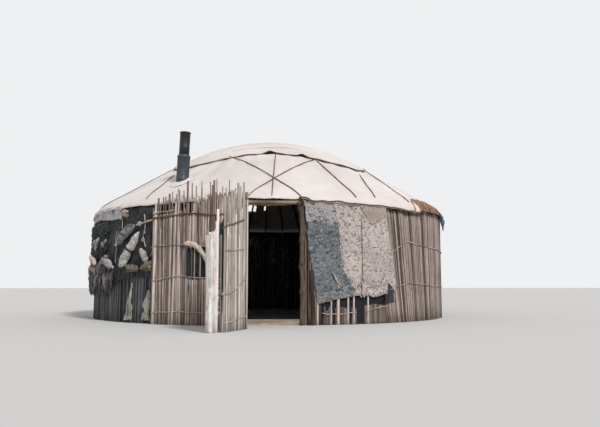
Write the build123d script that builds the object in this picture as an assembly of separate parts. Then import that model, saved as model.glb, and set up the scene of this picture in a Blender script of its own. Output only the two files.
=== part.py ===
from build123d import *
import math
import os

# A round yurt with a reed wall and a canvas roof, in millimetres.
# Origin: the centre of the ring wall on the ground. +Z is up and the doorway faces -Y.
# Azimuths are in degrees from the doorway, growing towards +X.

# Clearances
SEAT = 0.3
FLUE_GAP = 3.0

# Trellis wall
WALL_TOP = 1600.0
TRELLIS_R = 2930.0
LATH_THICK = 12.0
LATH_BITE = 2.0
LATH_WIDTH = 28.0
LATH_LEAN = 38.0
LATH_STEPS = 5
LATH_OVERRUN = 2
SECTIONS = 8

# Door frame
DOOR_HALF = 395.0
POST_WIDTH = 70.0
POST_PROUD = 30.0
POST_DEPTH = 60.0
LINTEL_OVER_WALL = 30.0
LINTEL_HEIGHT = 60.0
LINTEL_END = 15.0
LINTEL_SIDE_GAP = 10.0
CANVAS_OVER_LINTEL = 5.0
SILL_HEIGHT = 80.0
STAKE_FROM_POST = 1.0
STAKE_WIDE = 1.6
STAKE_THICK = 40.0
STAKE_TOP = 760.0

# Reed mats and felts, layer on layer outside the trellis
MAT_THICK = 24.0
FELT_THICK = 14.0
MAT_DROP = 15.0
MAT_FROM_POST = 0.5
MAT_JOINTS = (34.2, 84.8, 274.9)
MAT_JOINT_GAP = 0.1
LEFT_MAT_END = 330.0
TALL_MAT_RISES = [260.0, 280.0, 315.0, 275.0, 250.0, 170.0, 90.0, 55.0]
TALL_MAT_START = -32.5
TALL_MAT_FROM_DOOR = 36.0

# Roof canvas, its outer face from the crown's edge to the hem, as shares of the whole
# way out and of the whole way up
ROOF_SHAPE = [
    (0.0, 1.0),
    (0.074, 0.956),
    (0.232, 0.828),
    (0.444, 0.636),
    (0.617, 0.468),
    (0.790, 0.296),
    (0.889, 0.206),
    (0.948, 0.140),
    (0.988, 0.080),
    (1.0, 0.036),
    (1.0, 0.0),
]
HEM_PROUD = 95.0
HEM_LIFT = 5.0
CROWN_EDGE_OUT = 15.0
CROWN_EDGE_RISE = 27.0
CANVAS = 10.0
FACETS = 48
GORES = 4
CAP_HALF = 1600.0
CAP_CORNER = 900.0
CAP_THICK = 8.0
TEARS = [((-430.0, 2262.0), (290.0, 190.0), 190.0), ((-110.0, 2290.0), (70.0, 110.0), 0.0)]

# Straw under-layer at the right, where the canvas is drawn back from the hem
STRAW_BREADTH = 165.0
STRAW_SPAN = (50.0, 85.0)
STRAW_PROUD = 8.0

# Roof poles and crown
POLE_WIDTH = 32.0
POLE_DEPTH = 34.0
POLE_BENDS = (0, 2, 4, 5, 7)
POLE_BEND = 90.0
POLE_FOOT_BACK = 8.0
RING_R = 985.0
RING_WIDTH = 85.0
RING_TOP = 2828.0
RING_HEIGHT = 75.0
CROWN_BAR_WIDTH = 34.0
CROWN_BAR_DEPTH = 30.0
CROWN_BAR_GAP = 150.0
CROWN_BAR_INSET = 20.0

# Dome of the crown, as (share of the ring's radius, rise over the ring's top)
CROWN_BAR_SHAPE = [(0.772, 67.0), (0.457, 122.0), (0.0, 147.0)]
CROWN_SHAPE = [(0.0, 174.0), (0.223, 170.0), (0.508, 140.0), (0.772, 94.0)]

# Stovepipe
PIPE_X, PIPE_Y = -1300.0, -2100.0
PIPE_ROOT = 2055.0
PIPE_LEAN = 2.5
PIPE_R = 93.0
PIPE_TOP_R = 76.0
PIPE_WALL = 2.0
PIPE_BELOW = 300.0
PIPE_STEP = 405.0
PIPE_ABOVE = 745.0
PIPE_OVERLAP = 60.0
PIPE_RIM = 7.0
PIPE_RIM_HEIGHT = 14.0
PIPE_BEAD = 4.0
PIPE_BEAD_DROP = 35.0
PIPE_BEAD_HALF = 9.0
FLAP_HALF_X, FLAP_HALF_Y = 170.0, 190.0
FLAP_THICK = 3.0

# Door screen: its middle line as (distance in from the door edge, distance ahead of the
# posts, height of the canes over the wall top)
SCREEN_THICK = 30.0
SCREEN_SIDES = 8
SCREEN_LINE = [
    (-9.0, 0.0, -10.0),
    (10.0, 100.0, 100.0),
    (65.0, 370.0, 150.0),
    (105.0, 640.0, 110.0),
    (5.0, 900.0, -160.0),
    (-115.0, 1190.0, -200.0),
    (-325.0, 1340.0, -460.0),
]

# Felts over the mats, outlined in azimuth and in shares of the mats' height. The slanting
# edge of the grey felt is in degrees past the door post.
FELT_JOINT = 20.35
FELT_JOINT_HALF = 0.05
GREY_EDGE = [(0.8, 1.0), (1.1, 0.883), (1.9, 0.568)]
GREY_CORNER = (4.9, 0.246)
GREY_FOOT = 0.252
SPOTTED_EDGE = [(30.0, 0.233), (35.6, 0.271), (36.4, 0.442), (33.6, 0.694), (33.0, 1.0)]
LEFT_FELT = [(-80.0, 0.297), (-30.0, 0.353), (-30.0, 1.0), (-80.0, 1.0)]
FELT_OFF_STAKE = (0.3, 10.0)

# Rolls and bags: length, waist, end radius, azimuth, share of the mats' height, slope, and
# the part of the felt's crease that they clear
ROLL_SIDES = 8
ROLL_BODY = 0.7
HIDES = {
    "hide_roll_upper": (380.0, 72.0, 45.0, -43.0, 0.820, 0.0, 0.0),
    "hide_bag_striped": (640.0, 82.0, 48.0, -40.6, 0.644, -51.0, 0.875),
    "hide_bag_small": (300.0, 55.0, 32.0, -35.7, 0.600, 60.0, 0.0),
}

# Heaps on the left felt, as (distance off it, share of the mats' height)
FLEECE_SPAN = (-78.0, -47.5)
FLEECE_LINE = [(0.0, 0.202), (75.0, 0.221), (110.0, 0.297), (100.0, 0.410), (55.0, 0.505),
               (0.0, 0.546)]
HUNG_SPAN = (-78.0, -52.0)
HUNG_LINE = [(0.0, 0.552), (50.0, 0.562), (65.0, 0.681), (45.0, 0.839), (0.0, 0.934)]

# Ropes: plan lines over the roof as (azimuth, share of the hem's radius) at both ends,
# and shares of the mats' height for the ropes round the wall
ROPE = 14.0
ROPE_PLANS_FRONT = [
    ((-23.9, 0.542), (8.1, 0.988)),
    ((26.1, 0.563), (-5.6, 0.983)),
    ((3.2, 0.500), (0.4, 0.983)),
]
ROPE_PLANS_SIDES = [
    ((23.8, 0.590), (24.0, 0.977)),
    ((39.8, 0.718), (30.9, 0.967)),
    ((56.7, 0.620), (45.0, 0.972)),
    ((-42.8, 0.730), (-37.0, 0.977)),
    ((-61.9, 0.600), (-65.2, 0.983)),
]
ROPE_PLANS_REAR = [
    ((171.9, 0.520), (161.1, 0.971)),
    ((149.0, 0.600), (173.6, 0.975)),
    ((208.5, 0.600), (207.3, 0.974)),
]
GIRTH_HEIGHTS = (0.208, 0.587, 0.934)
EAVE_ROPE_SPAN = (8.0, 50.0)
EAVE_ROPE_LIFT = 40.0

POST_OUT = DOOR_HALF + POST_WIDTH
POST_FRONT = TRELLIS_R + POST_PROUD
POST_AZIMUTH = math.degrees(math.asin((POST_OUT + SEAT) / TRELLIS_R))
LINTEL_BOTTOM = WALL_TOP + LINTEL_OVER_WALL
LINTEL_TOP = LINTEL_BOTTOM + LINTEL_HEIGHT
LINTEL_HALF = POST_OUT + LINTEL_END
MAT_TOP = WALL_TOP - MAT_DROP
TRELLIS_OUT = TRELLIS_R + 2 * LATH_THICK - LATH_BITE
MAT_R = TRELLIS_OUT + SEAT
FELT_R = MAT_R + MAT_THICK + SEAT
FELT_OUT = FELT_R + FELT_THICK
CREASE_PROUD = FELT_OUT * (1 / math.cos(math.pi / FACETS) - 1)
HEM_R = TRELLIS_R + HEM_PROUD
HEM_HEIGHT = WALL_TOP + HEM_LIFT
CROWN_EDGE_R = RING_R + CROWN_EDGE_OUT
CROWN_EDGE_HEIGHT = RING_TOP + CROWN_EDGE_RISE
ROOF_RUN = HEM_R - CROWN_EDGE_R
ROOF_RISE = CROWN_EDGE_HEIGHT - HEM_HEIGHT
ROOF_LINE = [(CROWN_EDGE_R + way * ROOF_RUN, HEM_HEIGHT + up * ROOF_RISE) for way, up in ROOF_SHAPE]
CROWN_LINE = [(share * RING_R, RING_TOP + rise) for share, rise in CROWN_SHAPE]
TALL_MAT_R = HEM_R + SEAT
TALL_MAT_END = -math.degrees(math.asin((DOOR_HALF + TALL_MAT_FROM_DOOR) / TALL_MAT_R))
STRAW_R = HEM_R - STRAW_BREADTH
STEP = 360.0 / FACETS
PIPE_AZIMUTH = math.degrees(math.atan2(PIPE_X, -PIPE_Y))
POLE_PHASE = (PIPE_AZIMUTH + STEP / 2) % STEP
REACH = 2.0 * HEM_R


def out(azimuth, radius):
    angle = math.radians(azimuth)
    return (radius * math.sin(angle), -radius * math.cos(angle))


def turned(shape, azimuth):
    return Rot(0, 0, azimuth) * shape


def radial_face(points):
    """A closed (radius, height) outline, stood up in the plane that cuts the doorway."""
    plane = Plane(origin=(0, 0, 0), x_dir=(0, -1, 0), z_dir=(-1, 0, 0))
    return plane * make_face(Polyline(*points, close=True))


def flat_radius(azimuth, radius):
    """Distance to the flat-faced wall whose faces lie at this radius in their middles."""
    from_middle = (azimuth - POLE_PHASE + STEP / 2) % STEP - STEP / 2
    return radius / math.cos(math.radians(from_middle))


def arc_wall(r0, r1, a0, a1, z0, z1):
    """A stretch of wall with one flat face for each roof facet."""
    first = math.ceil((a0 - POLE_PHASE) / STEP - 0.5)
    last = math.floor((a1 - POLE_PHASE) / STEP - 0.5)
    stops = [POLE_PHASE + STEP * (k + 0.5) for k in range(first, last + 1)]
    stops = [a0] + [a for a in stops if a0 + 0.01 < a < a1 - 0.01] + [a1]
    outline = [out(a, flat_radius(a, r1)) for a in stops]
    outline += [out(a, flat_radius(a, r0)) for a in reversed(stops)]
    return Pos(0, 0, z0) * extrude(Polygon(*outline, align=None), amount=z1 - z0)


def offset_line(points, depth):
    """The same line moved inwards, square to itself."""
    normals = []
    for (r0, z0), (r1, z1) in zip(points, points[1:]):
        length = math.hypot(r1 - r0, z1 - z0)
        normals.append(((z1 - z0) / length, -(r1 - r0) / length))
    moved = []
    for index, (radius, height) in enumerate(points):
        before = normals[max(index - 1, 0)]
        after = normals[min(index, len(normals) - 1)]
        share = 1 + before[0] * after[0] + before[1] * after[1]
        nr = (before[0] + after[0]) / share
        nz = (before[1] + after[1]) / share
        moved.append((radius + nr * depth, height + nz * depth))
    return moved


def facet(points):
    """One flat-faced slice of the roof, one step wide and centred on the doorway."""
    slab = extrude(radial_face(points), amount=REACH * math.tan(math.radians(STEP)), both=True)
    half = STEP / 2
    wedge = extrude(
        Polygon((0, 0), out(-half, REACH), out(half, REACH), align=None), amount=REACH
    )
    return slab & wedge


def around(shape, first, count):
    pieces = [turned(shape, POLE_PHASE + STEP * (first + k)) for k in range(count)]
    return pieces[0].fuse(*pieces[1:]) if count > 1 else pieces[0]


def between(shape, start, end):
    """The slice repeated over every facet that reaches into this span of azimuths."""
    first = math.floor((start - POLE_PHASE) / STEP + 0.5)
    last = math.floor((end - POLE_PHASE) / STEP + 0.5)
    return around(shape, first, last - first + 1)


def shell_points(line, low, high):
    """Outline of a layer lying between two depths below the line, so negative is above it."""
    return offset_line(line, high) + offset_line(line, low)[::-1]


def raised(line, rise):
    return [(r, z + rise) for r, z in line]


def layer(line, bottom, top):
    return raised(line, bottom) + raised(line, top)[::-1]


def write(shape, name):
    export_step(shape, "parts/" + name + ".step")


os.makedirs("parts", exist_ok=True)

# Trellis: laths in two layers that lean opposite ways, fused where they cross
seat_angle = math.degrees(SEAT / TRELLIS_R)
section_span = (360.0 - 2 * POST_AZIMUTH - (SECTIONS - 1) * seat_angle) / SECTIONS
lath_pitch = section_span / LATH_STEPS
bar_span = math.degrees(LATH_WIDTH / TRELLIS_R)
lath_runs = range(-LATH_OVERRUN, LATH_STEPS + LATH_OVERRUN)


def lath(shell, azimuth, lean):
    slab = Box(LATH_WIDTH, LATH_THICK * 14, WALL_TOP * 2)
    return shell & turned(Pos(0, -TRELLIS_R, WALL_TOP / 2) * Rot(0, lean, 0) * slab, azimuth)


for index in range(SECTIONS):
    first = POST_AZIMUTH + index * (section_span + seat_angle)
    last = first + section_span
    outer_low = TRELLIS_OUT - LATH_THICK
    inner = arc_wall(TRELLIS_R, TRELLIS_R + LATH_THICK, first, last, 0, WALL_TOP)
    outer = arc_wall(outer_low, TRELLIS_OUT, first, last, 0, WALL_TOP)
    laths = []
    for start in (first, last - bar_span):
        laths.append(arc_wall(TRELLIS_R, TRELLIS_OUT, start, start + bar_span, 0, WALL_TOP))
    for run in lath_runs:
        azimuth = first + (run + 0.5) * lath_pitch
        laths += lath(inner, azimuth, LATH_LEAN).solids()
        laths += lath(outer, azimuth, -LATH_LEAN).solids()
    write(laths[0].fuse(*laths[1:]), "trellis_%d" % (index + 1))

# Door frame
post = Box(POST_WIDTH, POST_DEPTH, LINTEL_BOTTOM - SEAT, align=(Align.MIN, Align.MIN, Align.MIN))
write(Pos(DOOR_HALF, -POST_FRONT, 0) * post, "door_post_right")
write(Pos(-POST_OUT, -POST_FRONT, 0) * post, "door_post_left")
lintel = Box(
    2 * LINTEL_HALF, POST_DEPTH, LINTEL_HEIGHT, align=(Align.CENTER, Align.MIN, Align.MIN)
)
write(Pos(0, -POST_FRONT, LINTEL_BOTTOM) * lintel, "door_lintel")
sill = Box(
    2 * (DOOR_HALF - SEAT), POST_DEPTH, SILL_HEIGHT, align=(Align.CENTER, Align.MIN, Align.MIN)
)
write(Pos(0, -POST_FRONT, 0) * sill, "door_sill")
stake_in = MAT_R + MAT_THICK + SEAT
stake_start = POST_AZIMUTH + STAKE_FROM_POST
stake_end = stake_start + STAKE_WIDE
stake = arc_wall(stake_in, stake_in + STAKE_THICK, stake_start, stake_end, 0, STAKE_TOP)
write(stake, "door_stake_right")

# Roof poles: bent at the foot, from the trellis to the crown ring
pole_line = [ROOF_LINE[index] for index in POLE_BENDS]
pole_top = offset_line(pole_line, CANVAS + SEAT)
pole_low = offset_line(pole_line, CANVAS + SEAT + POLE_DEPTH)
foot, bend = WALL_TOP + SEAT, WALL_TOP + POLE_BEND
pole_points = pole_top + [(TRELLIS_OUT, bend), (TRELLIS_OUT, foot)]
pole_points += [(TRELLIS_R, foot), (TRELLIS_R - POLE_FOOT_BACK, bend)] + pole_low[::-1]
pole = extrude(radial_face(pole_points), amount=POLE_WIDTH / 2, both=True)
pole = pole - Box(2 * (RING_R + SEAT), 2 * (RING_R + SEAT), 2 * REACH)


def over_lintel(side_gap, height):
    """Room around the lintel that the roof leaves open, up to a height."""
    room = Box(2 * (LINTEL_HALF + side_gap), 4 * POST_DEPTH, height)
    return Pos(0, -POST_FRONT, height / 2) * room


over_door = over_lintel(LINTEL_SIDE_GAP, LINTEL_TOP + SEAT)
sides = {"front": -6, "right": 6, "rear": 18, "left": 30}
gore = FACETS // GORES
for side, first in sides.items():
    poles = []
    for k in range(gore):
        azimuth = POLE_PHASE + STEP * (first + k)
        one = turned(pole, azimuth)
        if abs(math.sin(math.radians(azimuth))) * TRELLIS_R < POST_OUT + POLE_WIDTH:
            one = one - over_door
        poles += one.solids()
    write(Compound(children=poles), "roof_poles_" + side)

# Crown
ring_plan = RegularPolygon(RING_R, FACETS, major_radius=False)
ring_plan -= RegularPolygon(RING_R - RING_WIDTH, FACETS, major_radius=False)
ring = Pos(0, 0, RING_TOP - RING_HEIGHT) * extrude(ring_plan, amount=RING_HEIGHT)
write(turned(ring, POLE_PHASE + STEP / 2), "crown_ring")
seat_height = RING_TOP + SEAT
bar_end = RING_R - CROWN_BAR_INSET
bar_shoulder = RING_R - RING_WIDTH
bar_half = [(bar_end, seat_height)]
bar_half += [(share * RING_R, RING_TOP + rise) for share, rise in CROWN_BAR_SHAPE]
bar_over = [(-r, z) for r, z in bar_half] + bar_half[-2::-1]
bar_under = [(r, z - CROWN_BAR_DEPTH) for r, z in bar_over[1:-1]]
bar_outline = bar_over + [(bar_shoulder, seat_height)] + bar_under[::-1]
bar_outline += [(-bar_shoulder, seat_height)]
bar = extrude(radial_face(bar_outline), amount=CROWN_BAR_WIDTH / 2, both=True)
bars = []
for turn in (0, 90):
    for k in (-1, 0, 1):
        bars.append(Rot(0, 0, turn) * Pos(k * CROWN_BAR_GAP, 0, 0) * bar)
bars = bars[0].fuse(*bars[1:]) & Pos(0, 0, seat_height + REACH / 2) * Cylinder(bar_end, REACH)
write(bars, "crown_bars")

# Stovepipe solids, also used to cut the roof
pipe_place = Pos(PIPE_X, PIPE_Y, PIPE_ROOT) * Rot(0, PIPE_LEAN, 0)


def pipe_turn(points):
    face = Plane.XZ * make_face(Polyline(*points, close=True))
    return pipe_place * revolve(face, Axis.Z)


def pipe_rod(radius):
    return pipe_place * Cylinder(radius, 4 * PIPE_STEP)


sleeve = PIPE_TOP_R + SEAT
bead_height = PIPE_STEP - PIPE_BEAD_DROP
lower_pipe = [
    (PIPE_R - PIPE_WALL, -PIPE_BELOW),
    (PIPE_R, -PIPE_BELOW),
    (PIPE_R, bead_height - PIPE_BEAD_HALF),
    (PIPE_R + PIPE_BEAD, bead_height),
    (PIPE_R, bead_height + PIPE_BEAD_HALF),
    (sleeve + PIPE_WALL, PIPE_STEP),
    (sleeve, PIPE_STEP),
    (PIPE_R - PIPE_WALL, bead_height + PIPE_BEAD_HALF - PIPE_WALL),
]
write(pipe_turn(lower_pipe), "stovepipe_lower")
bore = PIPE_TOP_R - PIPE_WALL
upper_pipe = [
    (bore, PIPE_STEP - PIPE_OVERLAP),
    (PIPE_TOP_R, PIPE_STEP - PIPE_OVERLAP),
    (PIPE_TOP_R, PIPE_ABOVE - PIPE_RIM_HEIGHT - PIPE_BEAD),
    (PIPE_TOP_R + PIPE_RIM, PIPE_ABOVE - PIPE_RIM_HEIGHT),
    (PIPE_TOP_R + PIPE_RIM, PIPE_ABOVE),
    (bore, PIPE_ABOVE),
]
write(pipe_turn(upper_pipe), "stovepipe_upper")
flap_span = math.degrees(math.hypot(FLAP_HALF_X, FLAP_HALF_Y) / math.hypot(PIPE_X, PIPE_Y))
flap = facet(layer(ROOF_LINE[1:-1], SEAT, SEAT + FLAP_THICK))
flap = between(flap, PIPE_AZIMUTH - flap_span, PIPE_AZIMUTH + flap_span)
flap_square = Pos(PIPE_X, PIPE_Y, REACH / 4) * Rot(0, 0, PIPE_AZIMUTH)
flap_square = flap_square * Box(2 * FLAP_HALF_X, 2 * FLAP_HALF_Y, REACH)
write(flap & flap_square - pipe_rod(PIPE_R + SEAT), "pipe_flap")

# Roof canvas in four gores
canvas = facet(shell_points(ROOF_LINE, 0, CANVAS))
door_lift = over_lintel(2 * LINTEL_SIDE_GAP, LINTEL_TOP + CANVAS_OVER_LINTEL)
tears = [
    Pos(x, y, 0) * Rot(0, 0, angle) * Box(length, width, 2 * REACH)
    for (x, y), (length, width), angle in TEARS
]
gore_edge = POLE_PHASE - STEP / 2 + 180.0 / GORES
split = turned(Box(SEAT, 2 * REACH, 2 * REACH), gore_edge)
split += turned(Box(2 * REACH, SEAT, 2 * REACH), gore_edge)
straw = between(facet(shell_points(ROOF_LINE, -STRAW_PROUD, CANVAS)), *STRAW_SPAN)
straw_room = arc_wall(STRAW_R, REACH, *STRAW_SPAN, WALL_TOP, REACH)
straw_gap = math.degrees(SEAT / STRAW_R)
straw_cut = arc_wall(
    STRAW_R - SEAT, REACH, STRAW_SPAN[0] - straw_gap, STRAW_SPAN[1] + straw_gap, 0, REACH
)
write(straw & straw_room, "roof_reed_layer_right")
for side, first in sides.items():
    cover = around(canvas, first, gore) - split
    if side == "right":
        cover = cover - straw_cut
    if side == "front":
        cover = cover - door_lift - pipe_rod(PIPE_R + FLUE_GAP)
    if side == "rear":
        cover = cover.cut(*tears)
    write(cover, "roof_cover_" + side)

# Crown cover: a square cloth with round corners lying over the crown and the roof



def cap_room(gap):
    """The upright room over the cloth's plan, widened by a gap."""
    side = 2 * (CAP_HALF + gap)
    return extrude(RectangleRounded(side, side, CAP_CORNER + gap), amount=REACH)


cap = facet(layer(CROWN_LINE + ROOF_LINE[:-2], SEAT, SEAT + CAP_THICK))
write(around(cap, 0, FACETS) & cap_room(0), "crown_cover")

# Reed mats
mat_stops = (POST_AZIMUTH + MAT_FROM_POST,) + MAT_JOINTS + (LEFT_MAT_END,)
mat_names = ("reed_mat_right_front", "reed_mat_right", "reed_mat_rear", "reed_mat_left")
mat_spans = {
    name: (start + MAT_JOINT_GAP, end)
    for name, start, end in zip(mat_names, mat_stops, mat_stops[1:])
}
for name, (start, end) in mat_spans.items():
    write(arc_wall(MAT_R, MAT_R + MAT_THICK, start, end, 0, MAT_TOP), name)
tall_step = (TALL_MAT_END - TALL_MAT_START) / len(TALL_MAT_RISES)
tall = []
for index, rise in enumerate(TALL_MAT_RISES):
    start = TALL_MAT_END - (index + 1) * tall_step
    top = WALL_TOP + rise
    tall.append(arc_wall(TALL_MAT_R, TALL_MAT_R + MAT_THICK, start, start + tall_step, 0, top))
write(tall[0].fuse(*tall[1:]), "reed_mat_left_front")


screen_line = [
    (aside - DOOR_HALF, -POST_FRONT - ahead, WALL_TOP + rise) for aside, ahead, rise in SCREEN_LINE
]


def screen_leg(start, end):
    """One straight leg of the door screen with a sloping top."""
    (x0, y0, z0), (x1, y1, z1) = start, end
    length = math.hypot(x1 - x0, y1 - y0)
    heading = math.degrees(math.atan2(y1 - y0, x1 - x0))
    outline = Polygon((0, 0), (length, 0), (length, z1), (0, z0), align=None)
    leg = extrude(Plane.XZ * outline, amount=SCREEN_THICK / 2, both=True)
    return Pos(x0, y0, 0) * Rot(0, 0, heading) * leg


legs = [screen_leg(a, b) for a, b in zip(screen_line, screen_line[1:])]
for x, y, top in screen_line[1:-1]:
    corner = RegularPolygon(SCREEN_THICK / 2, SCREEN_SIDES, major_radius=False)
    legs.append(Pos(x, y, 0) * extrude(corner, amount=top))
screen = legs[0].fuse(*legs[1:])
keep_off = Pos(0, -POST_FRONT + REACH / 2 - SEAT, 0) * Box(REACH, REACH, REACH)
write(screen - keep_off, "door_screen_mat")


def wall_patch(r0, r1, outline):
    """A sheet on the round wall, outlined in azimuth and shares of the mats' height."""
    outline = [(a, share * MAT_TOP) for a, share in outline]
    low = min(a for a, z in outline)
    high = max(a for a, z in outline)
    middle = (low + high) / 2
    flat = [(r1 * math.sin(math.radians(a - middle)), z) for a, z in outline]
    prism = extrude(Plane.XZ * make_face(Polyline(*flat, close=True)), amount=REACH)
    floor = min(z for a, z in outline)
    top = max(z for a, z in outline)
    shell = arc_wall(r0, r1, low - 1, high + 1, floor, top)
    return shell & turned(prism, middle)


# Felts hung over the mats
past_stake = stake_end - POST_AZIMUTH + FELT_OFF_STAKE[0]
edge = GREY_EDGE + [(past_stake, (STAKE_TOP - FELT_OFF_STAKE[1]) / MAT_TOP), GREY_CORNER]
grey = [(POST_AZIMUTH + a, share) for a, share in edge]
grey += [(FELT_JOINT - FELT_JOINT_HALF, share) for share in (GREY_FOOT, 1.0)]
spotted = [(FELT_JOINT + FELT_JOINT_HALF, share) for share in (1.0, GREY_FOOT)] + SPOTTED_EDGE
write(wall_patch(FELT_R, FELT_OUT, grey), "wall_felt_grey")
write(wall_patch(FELT_R, FELT_OUT, spotted), "wall_felt_spotted")
write(wall_patch(FELT_R, FELT_OUT, LEFT_FELT), "wall_felt_left")


def roll(length, waist, end):
    """A soft roll lying along X, thinner at its ends."""
    body = length * ROLL_BODY
    neck = (length - body) / 2
    section = RegularPolygon(waist, ROLL_SIDES)
    narrowing = (waist - end) * math.cos(math.pi / ROLL_SIDES) / neck
    half = extrude(section, amount=body / 2)
    narrow = extrude(section, amount=neck, taper=math.degrees(math.atan(narrowing)))
    half += Pos(0, 0, body / 2) * narrow
    return Rot(0, 90, 0) * (half + Rot(180, 0, 0) * half)


def hang(shape, azimuth, height, radius, slope):
    return turned(Pos(0, -radius, height) * Rot(0, slope, 0) * shape, azimuth)


for name, (length, waist, end, azimuth, share, slope, over_crease) in HIDES.items():
    radius = FELT_OUT + over_crease * CREASE_PROUD + waist + SEAT
    write(hang(roll(length, waist, end), azimuth, share * MAT_TOP, radius, slope), name)


def heap(line, span):
    """A bulging layer on the left felt, from its profile."""
    profile = [(FELT_OUT + SEAT + off, share * MAT_TOP) for off, share in line]
    return between(facet(profile), *span) & arc_wall(FELT_OUT, REACH, *span, 0, REACH)


write(heap(FLEECE_LINE, FLEECE_SPAN), "fleece_bundle")
write(heap(HUNG_LINE, HUNG_SPAN), "hides_hung_left")

# Ropes over the roof and around the wall
rope_line = ROOF_LINE[1:-2]
rope_shell = facet(layer(rope_line, SEAT, SEAT + ROPE))


def roof_rope(start, end):
    """A rope lying on the canvas above a straight plan line, up to the crown cover."""
    (x0, y0), (x1, y1) = [out(azimuth, share * HEM_R) for azimuth, share in (start, end)]
    length = math.hypot(x1 - x0, y1 - y0)
    heading = math.degrees(math.atan2(y1 - y0, x1 - x0))
    slab = Box(length, ROPE, REACH)
    slab = Pos((x0 + x1) / 2, (y0 + y1) / 2, REACH / 2) * Rot(0, 0, heading) * slab
    return rope_dome & slab


rope_dome = around(rope_shell, 0, FACETS) - cap_room(SEAT)
front = [roof_rope(a, b) for a, b in ROPE_PLANS_FRONT]
write(front[0].fuse(*front[1:]), "roof_ropes_front")
write(Compound(children=[roof_rope(a, b) for a, b in ROPE_PLANS_SIDES]), "roof_ropes_sides")
rear = [roof_rope(a, b) for a, b in ROPE_PLANS_REAR]
write(rear[0].fuse(*rear[1:]), "roof_ropes_rear")

eave_in = HEM_R + SEAT
eave_low = WALL_TOP + EAVE_ROPE_LIFT
eave = arc_wall(eave_in, eave_in + ROPE, *EAVE_ROPE_SPAN, eave_low, eave_low + ROPE)
write(eave, "eave_rope")
girths = []
for share in GIRTH_HEIGHTS:
    height = share * MAT_TOP
    for mat_in, span in (
        (MAT_R, mat_spans["reed_mat_rear"]),
        (TALL_MAT_R, (TALL_MAT_START, TALL_MAT_END)),
    ):
        ring_in = mat_in + MAT_THICK + SEAT
        girths.append(arc_wall(ring_in, ring_in + ROPE, *span, height, height + ROPE))
write(Compound(children=girths), "girth_ropes")
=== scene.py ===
"""Yurt with reed walls, canvas roof, hanging felts and a stovepipe, dressed over its CAD frame."""
import math
import random

import bmesh
import bpy
from bpy.props import FloatProperty, FloatVectorProperty, IntProperty
from mathutils import Matrix, Quaternion, Vector, noise


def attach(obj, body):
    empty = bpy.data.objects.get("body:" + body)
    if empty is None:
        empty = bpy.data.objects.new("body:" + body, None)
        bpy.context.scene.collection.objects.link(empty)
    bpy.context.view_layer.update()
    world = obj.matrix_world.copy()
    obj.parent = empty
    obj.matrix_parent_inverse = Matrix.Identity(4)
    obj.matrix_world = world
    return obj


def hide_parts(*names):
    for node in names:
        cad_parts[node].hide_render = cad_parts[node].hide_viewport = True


bl_info = {
    "name": "Reed Yurt",
    "version": (1, 0, 0),
    "blender": (4, 5, 0),
    "location": "View3D > Sidebar > Yurt",
    "description": "Dresses a yurt frame with reeds, canvas, felt, hides and ropes",
    "category": "Object",
}

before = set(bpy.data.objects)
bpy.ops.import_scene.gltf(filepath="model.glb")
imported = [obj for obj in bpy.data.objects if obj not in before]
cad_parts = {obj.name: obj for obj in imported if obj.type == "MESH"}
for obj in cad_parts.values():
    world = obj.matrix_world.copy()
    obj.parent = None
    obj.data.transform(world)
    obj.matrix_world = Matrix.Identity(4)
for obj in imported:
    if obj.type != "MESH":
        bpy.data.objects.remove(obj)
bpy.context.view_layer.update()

SEED = 4584
BODY = "root"

# The roof's outer face as (radius, height) in metres: over the crown, and from the crown's edge
# to the hem and its longest flap
CROWN = [(0.0, 3.002), (0.22, 2.998), (0.5, 2.968), (0.76, 2.922)]
ROOF = [(1.0, 2.855), (1.15, 2.8), (1.47, 2.64), (1.9, 2.4), (2.25, 2.19), (2.6, 1.975),
        (2.8, 1.862), (2.92, 1.78), (3.0, 1.705), (3.025, 1.65), (3.025, 1.605), (3.03, 1.47)]
HEM_RADIUS = 3.025

# Azimuths are in degrees from the doorway, growing towards +X; roof poles stand a step apart
POLE_STEP = 7.5
POLE_PHASE = 1.9905
GORE_OVERLAP = 0.4

# Radii of the layers on the wall, in metres
MAT_BACK = 2.9595
GIRTH_LINE = 2.988
UNDER_FELT = 2.990
FELT_FACE = 2.996
STRIP_FACE = 3.001
FLEECE_FACE = 3.014
HIDE_FACE = 3.02
TALL_BACK = 3.0255
PAINTED_SHADOW_FACE = 3.034
TALL_MAT = 3.044
TALL_STICKS = 3.051
TALL_LINE = 3.063

# The stovepipe's foot and its lean in degrees
PIPE_FOOT = (-1.3, -2.1, 2.055)
PIPE_LEAN = 2.5

# The studio: camera, lamp and the grey of floor and background
CAMERA_PLACE = (0.0, -11.9, 0.55)
CAMERA_TURN = (96.05, 0.0, -2.58)
LENS = 39.9
LAMP_POWER = 2.2
LAMP_TURN = (47, 10, 20)
SKY_STRENGTH = 0.56
FLOOR_COLOUR = (0.62, 0.61, 0.6)
BACKGROUND = (0.86, 0.87, 0.88)


# Measures and colours that a user may change

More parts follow.
